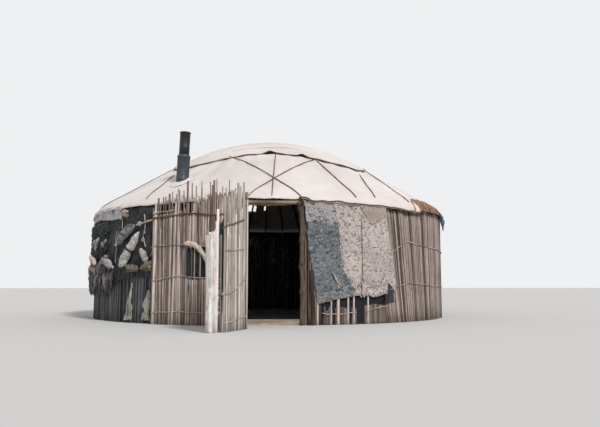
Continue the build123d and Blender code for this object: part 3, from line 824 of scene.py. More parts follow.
def wall_cord(points, radius, rng, size=0.006, amount=0.012):
    """A cord over the canes through (azimuth, height) points, wandering a little between them."""
    path = []
    phase = rng.uniform(0, 50)
    for (a0, z0), (a1, z1) in zip(points, points[1:]):
        steps = max(3, int(abs(a1 - a0) / 0.9))
        for k in range(steps):
            azimuth = a0 + (a1 - a0) * k / steps
            height = z0 + (z1 - z0) * k / steps
            height += amount * ripple(azimuth * 0.33 + phase, height, 0)
            path.append(azimuth_point(azimuth, radius + 0.002 * math.sin(k * 1.7 + phase), height))
    path.append(azimuth_point(points[-1][0], radius, points[-1][1]))
    return rope_geometry(smooth_path(path, 0.016, 2), size, lay=0.04, sides=7, lobes=2, seed=phase)


# Heights along the wall, by azimuth

TALL_TOPS = [(-32.5, 1.64), (-30.5, 1.70), (-28, 1.74), (-25.5, 1.80), (-23, 1.90), (-20, 1.93),
             (-17, 1.955), (-13, 1.93), (-8, 1.90)]
TALL_DENSE = [(-32.5, 1.54), (-27, 1.58), (-22, 1.64), (-18, 1.71), (-14, 1.77), (-8, 1.79)]
HEM_TABLE = [(-180, 1.615), (-88, 1.615), (-78, 1.61), (-64, 1.635), (-45, 1.655),
             (-34, 1.655), (-12, 1.67), (-9.4, 1.70), (9.4, 1.70), (10.5, 1.665), (22, 1.65),
             (36, 1.63), (46, 1.605), (49.5, 1.62), (50, 1.80), (85, 1.80), (85.5, 1.62),
             (180, 1.615)]


def hem_distance(azimuth):
    """How far down the roof line the canvas reaches at an azimuth."""
    turn = (azimuth + 180.0) % 360.0 - 180.0
    ragged = 0.045 if -80 < turn < -46 or 50 <= turn <= 85 else 0.012
    height = ramp(turn, HEM_TABLE) + ragged * ripple(turn * 0.25, 3.0, 0.0)
    height += ragged * 0.4 * ripple(turn * 0.9, 1.0, 0.0)
    height = max(height, ROOF[-1][1])
    lengths = line_lengths(ROOF)
    for index in range(len(ROOF) - 1):
        z0, z1 = ROOF[index][1], ROOF[index + 1][1]
        if z1 <= height <= z0:
            run = lengths[index + 1] - lengths[index]
            return lengths[index] + run * (z0 - height) / (z0 - z1)
    return lengths[-1]


def canvas_point(azimuth, distance, lift=0.0):
    """A point on the roof canvas with its sag, wrinkles and slack."""
    hem_share = 0.93
    radius, height, nr, nz = on_line(ROOF, distance)
    share = min(distance / ROOF_LENGTH, 1.0)
    between = 0.5 - 0.5 * math.cos(2 * math.pi * (azimuth - POLE_PHASE) / POLE_STEP)
    sag = 0.012 * between * math.sin(math.pi * min(share * 1.02, 1.0))
    x, y, z = azimuth_point(azimuth, radius, height)
    slack = 0.009 * wobble(x, y, z, 1.7) + 0.005 * wobble(x, y, z, 5.0, 3.0)
    pull = 0.004 * ripple(azimuth * 0.55, share * 2.0, 7.0) * share
    rise = 0.003 - sag + slack + pull + lift
    if share > hem_share:
        wave = math.sin(azimuth * 0.9 + 2 * wobble(azimuth * 0.05, 0, 0, 3.0))
        rise += 0.008 * wave * (share - hem_share) / 0.07
    return azimuth_point(azimuth, radius + nr * rise, height + nz * rise)


# Shapes that several pieces use

def rough_log(points, radius, seed, sides=14, squash=1.0, knots=(), crown=0.0):
    """A barked pole along a path, with knots at (share, size) and a top rounded over a length."""
    path = smooth_path(points, 0.022, 3)
    verts = []
    for index, point in enumerate(path):
        ahead = ahead_at(path, index)
        side = ahead.cross(Vector((0, 1, 0.001))).normalized()
        up = side.cross(ahead)
        share = index / (len(path) - 1)
        swell = 1 + sum(size * math.exp(-((share - place) / 0.012) ** 2) for place, size in knots)
        left = (path[-1] - point).length
        if crown and left < crown:
            swell *= math.sqrt(max(0.03, 1 - (1 - left / crown) ** 2))
        for k in range(sides):
            angle = 2 * math.pi * k / sides
            c, s = math.cos(angle), math.sin(angle)
            bulge = 1 + 0.2 * ripple(c + seed, s, index * 0.12)
            bulge += 0.07 * ripple(3 * c, 3 * s + seed, index * 0.4)
            reach = radius * bulge * swell
            verts.append(point + side * c * reach + up * s * reach * squash)
    return verts, tube_faces(len(path), sides)


def wall_cloth(name, bottom, top, edges, radius, seed, fold=0.006, columns=120, rows=110,
               thickness=0.008, puff=0.0, hole=None, hem=0.0):
    """A felt on the wall; bottom and edges are tables of height and azimuth by share."""
    left_edge, right_edge = edges

    def spot(u, v):
        left, right = ramp(1 - v, left_edge), ramp(1 - v, right_edge)
        floor = ramp(u, bottom)
        return left + (right - left) * u, floor + (top - floor) * (1 - v), floor

    def place(u, v):
        azimuth, height, floor = spot(u, v)
        rough = 0.016 * ripple(azimuth * 1.3, height * 9.0, seed)
        rough += 0.008 * ripple(azimuth * 4.1, height * 31.0, seed)
        side = max(0.0, 1 - min(u, 1 - u) * 9)
        foot = max(0.0, 1 - (1 - v) * 9)
        relief = fold * ripple(azimuth * 0.5, height * 4.0, seed + 3)
        relief += 0.5 * fold * ripple(azimuth * 1.6, height * 13.0, seed)
        relief += 0.25 * fold * ripple(azimuth * 4.5, height * 36.0, seed + 6)
        if height - floor < hem:
            relief += 0.007 * min(1.0, (hem - height + floor) / 0.02)
        azimuth += side * rough * 25
        height += foot * rough
        out = radius + relief + puff * math.sin(math.pi * u) * math.sin(math.pi * v) ** 0.6
        out += 0.008 * max(side, foot) * ripple(azimuth * 0.9, height * 6.0, seed + 9)
        return azimuth_point(azimuth, out, height), (math.radians(azimuth) * radius, height)

    def keep(u, v):
        return not hole(*spot(u, v)[:2])

    return cloth_grid(name, columns, rows, place, thickness, keep if hole else None)


def lump(path, widths, seed, squash=0.75, rough=0.22, sides=28, step=0.016):
    """A soft bundle swept along a path, pressed flat towards the wall and crumpled."""
    line = smooth_path(path, step, 3)
    verts = []
    for index, point in enumerate(line):
        share = index / (len(line) - 1)
        radius = ramp(share, widths) * math.sqrt(max(0.02, 1 - (2 * share - 1) ** 8))
        outward = Vector((point.x, point.y, 0)).normalized()
        side = ahead_at(line, index).cross(outward).normalized()
        for k in range(sides):
            angle = 2 * math.pi * k / sides
            direction = side * math.cos(angle) + outward * math.sin(angle) * squash
            here = point + direction * radius
            crumple = noise.noise(here * 8.0 + Vector((seed, 0, 0)))
            crease = 1 - 2.4 * abs(noise.noise(here * 13.0 + Vector((0, 0, seed))))
            fine = noise.noise(here * 34.0 + Vector((0, seed, 0)))
            swell = 1 + rough * (crumple - 0.55 * crease + 0.35 * fine)
            verts.append(point + direction * radius * swell)
    return verts, tube_faces(len(line), sides)


def lathe(points, sides=64):
    """Turns (radius, height) points round the Z axis into a closed ring of faces."""
    verts, faces = [], []
    count = len(points)
    for k in range(sides):
        angle = 2 * math.pi * k / sides
        for radius, height in points:
            verts.append(Vector((radius * math.cos(angle), radius * math.sin(angle), height)))
    for k in range(sides):
        for j in range(count):
            here, there = k * count, (k + 1) % sides * count
            above = (j + 1) % count
            faces.append((here + j, there + j, there + above, here + above))
    return verts, faces


def roof_rope(start, end, lift=0.012, sway=0.006):
    """A rope across the canvas between two plan points."""
    a, b = Vector((*start, 0)), Vector((*end, 0))
    steps = max(6, int((b - a).length / 0.06))
    path = []
    for k in range(steps + 1):
        point = a.lerp(b, k / steps)
        side = Vector((a.y - b.y, b.x - a.x, 0)).normalized()
        point += side * sway * ripple(point.x * 3, point.y * 3, 5)
        point.z = roof_height(math.hypot(point.x, point.y)) + lift
        path.append(point)
    return smooth_path(path, 0.014, 1)


# Operators: one for each group of like pieces

class YurtPiece(bpy.types.Operator):
    bl_options = {"REGISTER", "UNDO"}

    def execute(self, context):
        self.make(context.scene.yurt_sizes)
        return {"FINISHED"}


class YURT_OT_frame(YurtPiece):
    """Gives the trellis, roof poles, crown and sill their wood"""
    bl_idname = "yurt.frame"
    bl_label = "Frame wood"

    def make(self, sizes):
        names = ["roof_poles_front", "roof_poles_right", "roof_poles_rear", "roof_poles_left",
                 "crown_ring", "crown_bars", "door_sill"]
        names += ["trellis_%d" % k for k in range(1, 9)]
        for name in names:
            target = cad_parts[name]
            finish = finish_of("wood_pale" if name == "door_sill" else "wood")
            if not target.material_slots:
                target.data.materials.append(finish)
            for holder in target.material_slots:
                holder.material = finish


class YURT_OT_door_frame(YurtPiece):
    """Makes the rough door posts, the lintel pole and their lashings"""
    bl_idname = "yurt.door_frame"
    bl_label = "Door frame"

    def make(self, sizes):
        girth, knots = 0.032, [(0.27, 0.35), (0.48, 0.5), (0.7, 0.45), (0.86, 0.3)]
        right = [(0.432, -2.93, 0.0), (0.437, -2.934, 0.5), (0.424, -2.93, 0.82),
                 (0.430, -2.936, 1.1), (0.436, -2.932, 1.3), (0.425, -2.93, 1.63)]
        left = [(-0.430, -2.93, 0.0), (-0.433, -2.93, 0.8), (-0.428, -2.93, 1.63)]
        beam = [(-0.48, -2.93, 1.660), (-0.2, -2.93, 1.662), (0.1, -2.93, 1.658),
                (0.48, -2.93, 1.660)]
        lashing = knot_geometry((0.428, -2.955, 0.81), 0.024, 41)
        piece("door_post_right_log", [rough_log(right, girth, 4.0, knots=knots)] + lashing,
              "frame_wood", "wood_post", "door_post_right")
        piece("door_post_left_log", [rough_log(left, girth, 9.0, knots=knots)],
              "frame_wood", "wood_post", "door_post_left")
        piece("door_lintel_log", [rough_log(beam, 0.029, 14.0)], "frame_wood", "wood_pale",
              "door_lintel")
        # A stake beside the right post in very dark wood; its darkness is partly painted shade
        # beside the doorway
        stake = wall_points(2.998, ((10.95, 0.0), (11.15, 0.25), (10.8, 0.5), (10.9, 0.755)))
        piece("door_stake_log", [rough_log(stake, 0.027, 21.0, squash=0.7, crown=0.03,
                                           knots=[(0.3, 0.3), (0.66, 0.4)])],
              "frame_wood", "wood_dark", "door_stake_right")
        line = []
        for k in range(25):
            x = -0.40 + 0.74 * k / 24
            sag = 0.022 * math.sin(math.pi * k / 24) + 0.008 * ripple(x * 9, 0, 4)
            line.append((x, -2.963, 1.632 - sag))
        piece("door_head_cord", [rope_geometry(smooth_path(line, 0.014, 1), 0.0085, seed=8)],
              "rope", "rope")


class YURT_OT_roof(YurtPiece):
    """Lays the roof canvas in four gores with its sag, its hem and its tears"""
    bl_idname = "yurt.roof"
    bl_label = "Roof canvas"

    @staticmethod
    def whole(side, x, y):
        """False where the canvas is open for the pipe or torn."""
        if side == "front":
            return math.hypot(x - PIPE_FOOT[0], y - PIPE_FOOT[1]) > 0.098
        if side == "rear":
            cosine, sine = math.cos(math.radians(10)), 0.17
            along = (x + 0.43) * cosine + (y - 2.262) * sine
            across = -(x + 0.43) * sine + (y - 2.262) * cosine
            slot = abs(along) < 0.14 and abs(across) < 0.09
            small = abs(x + 0.11) < 0.035 and abs(y - 2.29) < 0.05
            return not (slot or small)
        return True

    def make(self, sizes):
        edge = POLE_PHASE - POLE_STEP / 2
        for side, turn in (("front", -45), ("right", 45), ("rear", 135), ("left", 225)):
            def spot(u, v, start=edge + turn - GORE_OVERLAP):
                azimuth = start + (90 + 2 * GORE_OVERLAP) * u
                return azimuth, v * hem_distance(azimuth)

            def place(u, v, spot=spot):
                azimuth, distance = spot(u, v)
                return canvas_point(azimuth, distance), (math.radians(azimuth) * 2.2, distance)

            def keep(u, v, spot=spot, side=side):
                x, y, _ = canvas_point(*spot(u, v))
                return self.whole(side, x, y)

            cloth(cloth_grid("roof_canvas_" + side, 108, 64, place, sizes.cloth_thickness, keep),
                  "canvas", "canvas", (4.9, 2.5), "stretched", ["roof_poles_" + side],
                  "roof_cover_" + side)


class YURT_OT_crown_cover(YurtPiece):
    """Lays the square crown cloth with its lifted front edge and edge cord"""
    bl_idname = "yurt.crown_cover"
    bl_label = "Crown cover"

    # Where the front edge stands off the canvas: azimuth, spread and lift
    gaps = ((-0.5, 3.0, 0.042), (17.5, 2.0, 0.034))
    off_canvas = 0.016
    rim_share = 0.86

    def edge(self, azimuth):
        """How far the square cloth reaches in plan."""
        half, power = 1.6, 5.5
        angle = math.radians(azimuth)
        round_off = abs(math.sin(angle)) ** power + abs(math.cos(angle)) ** power
        return half / round_off ** (1 / power) * (1 + 0.008 * ripple(azimuth * 0.08, 0, 2))

    def surface(self, azimuth, radius, share):
        x, y, _ = azimuth_point(azimuth, radius, 0)
        height = roof_height(radius) + self.off_canvas
        height += 0.010 * wobble(x, y, 0, 2.2, 9.0) + 0.004 * wobble(x, y, 0, 7.0, 1.0)
        if share > self.rim_share:
            rim = (share - self.rim_share) / 0.14
            height += rim * 0.016 * (0.4 + ripple(azimuth * 0.12, 5.0, 0.0))
            for centre, width, lift in self.gaps:
                gap = (azimuth - centre) / width
                height += rim * lift * math.exp(-gap * gap)
        return Vector((x, y, height))

    def make(self, sizes):
        columns, rows = 300, 40
        verts, uvs = [Vector((0, 0, roof_height(0) + self.off_canvas))], [(0, 0)]
        for j in range(1, rows + 1):
            for i in range(columns):
                azimuth = 360.0 * i / columns
                turn = (azimuth + 180) % 360 - 180
                point = self.surface(turn, self.edge(azimuth) * j / rows, j / rows)
                verts.append(point)
                uvs.append((point.x, point.y))
        faces = [(0, 1 + i, 1 + (i + 1) % columns) for i in range(columns)]
        for j in range(rows - 1):
            for i in range(columns):
                a = 1 + j * columns + i
                b = 1 + j * columns + (i + 1) % columns
                faces.append((a, a + columns, b + columns, b))
        cover = new_object("crown_cloth", verts, faces)
        add_uv(cover, uvs)
        thicken(cover, sizes.cloth_thickness)
        cloth(cover, "cap_canvas", "cap", (3.5, 3.5), "laid", ["crown_bars", "roof_cover_front"],
              "crown_cover")
        # Dark strips laid on the canvas under the lifted edge: painted shade in the gaps under the
        # crown cloth
        for k, (centre, width, _) in enumerate(self.gaps):
            def under(u, v, centre=centre, width=width):
                azimuth = centre + (2 * u - 1) * width
                radius = self.edge(azimuth) * (0.93 + 0.06 * v)
                height = roof_height(radius) + (0.011 + 0.004 * math.sin(math.pi * u))
                return azimuth_point(azimuth, radius, height), (u * 0.15, v * 0.1)

            cloth(cloth_grid("crown_gap_felt_%d" % (k + 1), 12, 6, under, 0.003),
                  "dark_felt", "dark", (0.18, 0.1), "laid", ["roof_cover_front"])
        rim = [self.surface(turn, self.edge(turn) * 0.998, 1.0)
               for turn in (i - 180.0 for i in range(361))]
        seam = []
        for k in range(41):
            x, y = -0.62 + 1.1 * k / 40, -1.31 + 0.05 * k / 40
            seam.append(self.surface(math.degrees(math.atan2(x, -y)), math.hypot(x, y), 0.8))
        piece("crown_cloth_seam", [rope_geometry(seam, 0.0045, seed=6)], "rope", "rope_pale")
        piece("crown_edge_cord", [rope_geometry(resample(rim, 0.018), 0.0075, seed=2)],
              "rope", "rope")


class YURT_OT_mats(YurtPiece):
    """Stands the reed mats round the wall, cane by cane"""
    bl_idname = "yurt.mats"
    bl_label = "Reed mats"

    # Each mat: name, its azimuths, finish, palest tone, lean by azimuth and gaps in its canes
    mats = (
        ("reed_mat_left", -84.9, -30.1, "reed_dark", 1.0, ((0, 0.0),), ()),
        # The low right mat's low palest tone and its gaps onto the near-black backing are painted
        # shade under the felts and beside the doorway
        ("reed_mat_right_front", 9.8, 34.2, "reed", 0.32, ((0, 0.0),),
         ((23.5, 26.2, 0.0, 0.5), (13.3, 14.2, 0.0, 0.5), (16.6, 17.3, 0.0, 0.5),
          (21.4, 22.1, 0.0, 0.5), (14.2, 23.5, 0.22, 0.5), (26.2, 33.4, 0.25, 0.5))),
        ("reed_mat_right", 34.3, 84.8, "reed", 0.66, ((34.3, -2.6), (48, -1.6), (70, 0)), ()),
        ("reed_mat_rear", 84.9, 274.9, "reed", 1.0, ((0, 0.0),), ()),
    )
    # Stout pales among the canes of the low right mat: azimuth, top, radius, tint
    pales = ((12.45, 0.50, 0.015, 0.95), (16.1, 0.52, 0.012, 0.8), (18.1, 0.60, 0.021, 1.0),
             (20.9, 0.55, 0.014, 0.9), (22.7, 0.55, 0.014, 1.0), (27.1, 0.6, 0.014, 0.95))
    # Sticks that stand out of the tall mat: azimuth, lean, top, radius, tint
    sticks = ((-31.9, 0.5, 1.70, 0.016, 1.0), (-30.1, -0.5, 1.79, 0.014, 0.1),
              (-27.4, 0.3, 1.84, 0.016, 0.12), (-25.6, 0.6, 1.72, 0.015, 0.95),
              (-23.4, -1.0, 1.90, 0.013, 0.85), (-22.2, 0.5, 2.0, 0.015, 0.15),
              (-19.5, 0.2, 1.93, 0.0095, 0.55), (-17.8, 0.1, 1.9, 0.009, 0.5),
              (-15.3, 0.9, 2.0, 0.013, 0.3), (-14.2, -0.6, 1.93, 0.014, 0.1))

    def low_mats(self, sizes):
        radius = sizes.mat_radius
        for seed, (name, start, end, finish, tone, lean, gaps) in enumerate(self.mats):
            rng = random.Random(SEED + seed + 1)
            high = sizes.mat_height + (0.06 if "right" in name else 0.0)
            stalks = wall_stalks(start, end, radius, lambda a, high=high: high, rng, (0.0, tone),
                                 lean, gaps=gaps)
            if name == "reed_mat_right_front":
                for azimuth, top, girth, tint in self.pales:
                    foot = azimuth_point(azimuth, radius + 0.006, 0.0)
                    tip = azimuth_point(azimuth + rng.uniform(-0.2, 0.2), radius + 0.006, top)
                    stalks.append((foot, tip, girth, tint))
            canes(name + "_canes", stalks, finish, name, sides=sizes.cane_sides)
            mat_backing(name + "_back", start, end, MAT_BACK, lambda a: 1.76)

    def tall_mat(self, sizes):
        rng = random.Random(SEED + 5)
        # The two gaps in the canes open onto a dark sheet: painted shadow under the rag and beside
        # the door screen
        stalks = wall_stalks(-32.5, -8.2, TALL_MAT, lambda a: ramp(a, TALL_DENSE), rng,
                             (0.03, 1.0), ragged=0.05,
                             gaps=[(-21.9, -16.2, 0.63, 1.05), (-17.5, -15.6, 0.0, 0.5)])
        thin = [(a + rng.uniform(-0.3, 0.3), rng.uniform(-0.5, 0.5),
                 ramp(a, TALL_TOPS) + rng.uniform(-0.03, 0.09), rng.uniform(0.006, 0.0095),
                 rng.uniform(0.0, 0.45)) for a in range(-32, -8) if a not in (-21, -19, -17, -16)]
        for azimuth, lean, top, girth, tint in thin + list(self.sticks):
            stalks.append((azimuth_point(azimuth, TALL_STICKS, 0.001),
                           azimuth_point(azimuth + lean, TALL_STICKS - 0.004, top - 0.05),
                           girth, tint))
        canes("reed_mat_tall_canes", stalks, "reed", "reed_mat_left_front", 0.016,
              sizes.cane_sides)
        mat_backing("reed_mat_tall_back", -32.4, -8.3, TALL_BACK,
                    lambda a: ramp(a, TALL_DENSE) - 0.06)

    def make(self, sizes):
        self.low_mats(sizes)
        self.tall_mat(sizes)
        sag = [(-22.2, 1.095), (-20.4, 1.09), (-19.2, 1.07), (-18.2, 1.03), (-17.2, 0.97),
               (-15.8, 0.85)]

        def crumpled(u, v):
            azimuth = -22.2 + 6.4 * u
            half = 0.016 + 0.042 * math.sqrt(u) + 0.016 * ripple(9 * u, 3 * v, 4)
            height = ramp(azimuth, sag) + (1 - 2 * v) * half
            out = 3.060 + 0.030 * math.sin(math.pi * v) ** 0.5
            out += 0.022 * abs(ripple(azimuth * 0.8, height * 26 + azimuth, 2))
            out += 0.010 * ripple(azimuth * 2.6, height * 60, 7)
            return azimuth_point(azimuth, out, height), (0.34 * u, 0.11 * v)

        cloth(cloth_grid("mat_rag", 90, 26, crumpled, 0.004), "canvas", "rag", (0.44, 0.18),
              "hung", ["reed_mat_left_front"])
        # A dark sheet behind the tall mat's gaps: painted shadow under the rag and in the slot
        # beside the door screen
        dark = wall_cloth("mat_hole_cloth", [(0, 0.02)], 1.07,
                          ([(0, -18.2), (0.45, -18.4), (0.56, -22.0), (1, -22.3)],
                           [(0, -15.0), (1, -15.4)]),
                          PAINTED_SHADOW_FACE, 31.0, 0.004, 24, 50, 0.003)
        cloth(dark, "dark_felt", "dark", (0.38, 1.06), "hung", ["reed_mat_left_front"])


class YURT_OT_screen(YurtPiece):
    """Stands the door screen, a reed mat swung aside from the doorway"""
    bl_idname = "yurt.screen"
    bl_label = "Door screen"

    # The screen's foot line with the height of its canes
    plan = [(-0.404, -2.965, 1.60), (-0.385, -3.06, 1.71), (-0.33, -3.33, 1.76),
            (-0.29, -3.60, 1.73), (-0.39, -3.86, 1.60), (-0.51, -4.15, 1.46),
            (-0.72, -4.30, 1.13)]
    # The shares of the line between which the screen is split, and where its halves meet
    cleft = (0.815, 0.865)
    halves = 0.44
    row_gap = 0.0065
    # Sticks on the outer half: share, top, radius, tint
    sticks = ((0.47, 1.80, 0.013, 0.1), (0.53, 1.74, 0.012, 0.3), (0.585, 1.77, 0.015, 0.05),
              (0.64, 1.66, 0.012, 0.2), (0.70, 1.66, 0.013, 0.1), (0.745, 1.58, 0.014, 0.15),
              (0.79, 1.57, 0.014, 0.2), (0.885, 1.41, 0.017, 1.0), (0.90, 1.27, 0.014, 0.8))
    # Pale cords along both faces, as (share, height), and the knots on them
    cords = ([(0.50, 0.975), (0.66, 0.95), (0.81, 0.93)],
             [(0.46, 0.62), (0.60, 0.50), (0.72, 0.445), (0.81, 0.433)],
             [(0.87, 0.43), (0.93, 0.37), (0.99, 0.33)],
             [(0.46, 0.16), (0.62, 0.13), (0.81, 0.10)])
    knots = ((0.46, 0.62), (0.50, 0.975), (0.46, 0.16), (0.81, 0.433))

    def at(self, path, share, out=0.0):
        """A foot point on the screen's line, moved out towards the front."""
        place = share * (len(path) - 1)
        index = min(int(place), len(path) - 2)
        point = path[index].lerp(path[index + 1], place - index)
        ahead = path[min(index + 2, len(path) - 1)] - path[max(index - 1, 0)]
        front = Vector((-ahead.y, ahead.x, 0)).normalized()
        return Vector((point.x, point.y, 0)) + front * out, point.z

    def spot(self, path, share, out, height=0.0):
        """The same point at a height."""
        point, _ = self.at(path, share, out)
        point.z = height
        return point

    def cord(self, path, heights, out, rng, size):
        line = []
        for (s0, z0), (s1, z1) in zip(heights, heights[1:]):
            for k in range(10):
                share = s0 + (s1 - s0) * k / 10
                height = z0 + (z1 - z0) * k / 10 + 0.008 * ripple(share * 14, z0 * 7, 0)
                line.append(self.spot(path, share, out + rng.uniform(-0.001, 0.001), height))
        return rope_geometry(smooth_path(line, 0.014, 2), size, lay=0.04, sides=7, lobes=2,
                             seed=z0)

    def row(self, path, length, row, low, high, rng, cane):
        """One row of canes between two shares of the line."""
        stalks = []
        share = low + rng.uniform(0, 0.005)
        while share < high:
            girth = cane * rng.choice((0.7, 0.8, 0.9, 1.0, 1.3))
            in_cleft = self.cleft[0] < share < self.cleft[1]
            if in_cleft and row > 0:
                share += 0.008
                continue
            out = self.row_gap * row
            foot, top = self.at(path, share, out)
            height = top - 0.16 + rng.uniform(-0.10, 0.04)
            # Most canes pale, some dark: the dark ones are partly painted shade between the canes
            tint = rng.uniform(0.72, 1.0) if rng.random() < 0.7 else rng.uniform(0, 0.25)
            if share > self.cleft[1]:
                height = ramp(share, [(0.865, 1.24), (0.93, 1.14), (1, 1.12)])
                height += rng.uniform(-0.05, 0.01)
                tint = rng.uniform(0.55, 1.0)
            aside = min(max(share + rng.gauss(0, 0.003), 0), 1)
            tip = self.spot(path, aside, out + rng.gauss(0, 0.002), height)
            if self.cleft[0] - 0.11 < share < self.cleft[0]:
                tip = self.spot(path, share - 0.05, out, height)
            foot.z = 0.001
            if not in_cleft:
                stalks.append((foot, tip, girth, tint))
            elif rng.random() < 0.4:
                # Dark canes set back in the cleft: painted shade in the recess
                stalks.append((self.spot(path, share, -0.016),
                               self.spot(path, share, -0.016, height - 0.08), girth, 0.0))
            share += girth * rng.uniform(1.6, 2.1) / length
        return stalks

    def trimmings(self, path, rng):
        """The outer half's sticks and the splinters across its cleft."""
        stalks = []
        for share, top, girth, tint in self.sticks:
            foot = self.spot(path, share, 0.014)
            tip = self.spot(path, share + rng.uniform(-0.012, 0.004), 0.010, top)
            stalks.append((foot, tip, girth, tint))
        for _ in range(26):
            share = self.cleft[1] + rng.uniform(-0.004, 0.006)
            foot = self.spot(path, share, rng.uniform(-0.006, 0.012))
            foot.z = rng.uniform(0.18, 0.62)
            tip = self.spot(path, share - rng.uniform(0.012, 0.03), rng.uniform(-0.01, 0.016))
            tip.z = foot.z + rng.uniform(-0.03, 0.03)
            stalks.append((foot, tip, 0.0035, rng.uniform(0.5, 1.0)))
        return stalks

    def make(self, sizes):
        rng = random.Random(SEED + 11)
        path = smooth_path(self.plan, 0.012, 3)
        length = sum((b - a).length for a, b in zip(path, path[1:]))
        for name, low, high, finish in (
                ("door_screen_inner", 0.004, self.halves, "reed"),
                ("door_screen_outer", self.halves, 0.996, "reed_pale")):
            stalks = []
            for row in (-1, 1):
                stalks += self.row(path, length, row, low, high, rng, sizes.cane_radius)
            for _ in range(15):
                share = rng.uniform(low, min(high, 0.78))
                foot, top = self.at(path, share, 0.012)
                tip = self.spot(path, share + rng.uniform(-0.015, 0.01), 0.012)
                tip.z = top + rng.uniform(-0.05, 0.05)
                stalks.append((foot, tip, rng.uniform(0.006, 0.009), rng.uniform(0.0, 0.4)))
            if name == "door_screen_outer":
                stalks += self.trimmings(path, rng)
            canes(name, stalks, finish, "door_screen_mat", 0.014, sizes.cane_sides)

        # A dark sheet hung behind the cleft: painted shade between the screen's two halves
        line = [self.spot(path, 0.74 + 0.15 * k / 12, -0.024) for k in range(13)]

        def hang(u, v):
            place = u * 12
            index = min(int(place), 11)
            point = line[index].lerp(line[index + 1], place - index)
            point.z = 0.03 + (1.30 + 0.05 * math.sin(9 * u) - 0.03) * (1 - v)
            return point, (u * 0.25, point.z)

        cloth(cloth_grid("door_screen_rag", 12, 40, hang, 0.004), "dark_felt", "dark",
              (0.26, 1.34), "hung", ["door_screen_mat"])
        foot = self.spot(path, 0.955, 0.012)
        stake = [foot + Vector((0.004 * math.sin(9 * t), 0, 1.135 * t))
                 for t in (0, 0.25, 0.5, 0.75, 1)]
        piece("door_screen_stake", [rough_log(stake, 0.029, 33.0, crown=0.035,
                                              knots=[(0.42, 0.2), (0.8, 0.25)])],
              "reed", "wood_bleached")
        parts = [self.cord(path, heights, out, rng, 0.0055)
                 for heights in self.cords for out in (0.025, -0.021)]
        for share, height in self.knots:
            point = self.spot(path, share, 0.024)
            parts += knot_geometry((point.x, point.y, height), 0.013, 3 + height)
        piece("door_screen_cords", parts, "rope", "rope_pale")
        dark = self.cord(path, [(0.48, 1.34), (0.62, 1.28), (0.75, 1.235), (0.83, 1.19)], 0.026,
                         rng, 0.0075)
        inner = self.cord(path, [(0.03, 1.30), (0.25, 1.36), (0.46, 1.35)], -0.021, rng, 0.0065)
        piece("door_screen_dark_cord", [dark, inner], "rope", "rope")


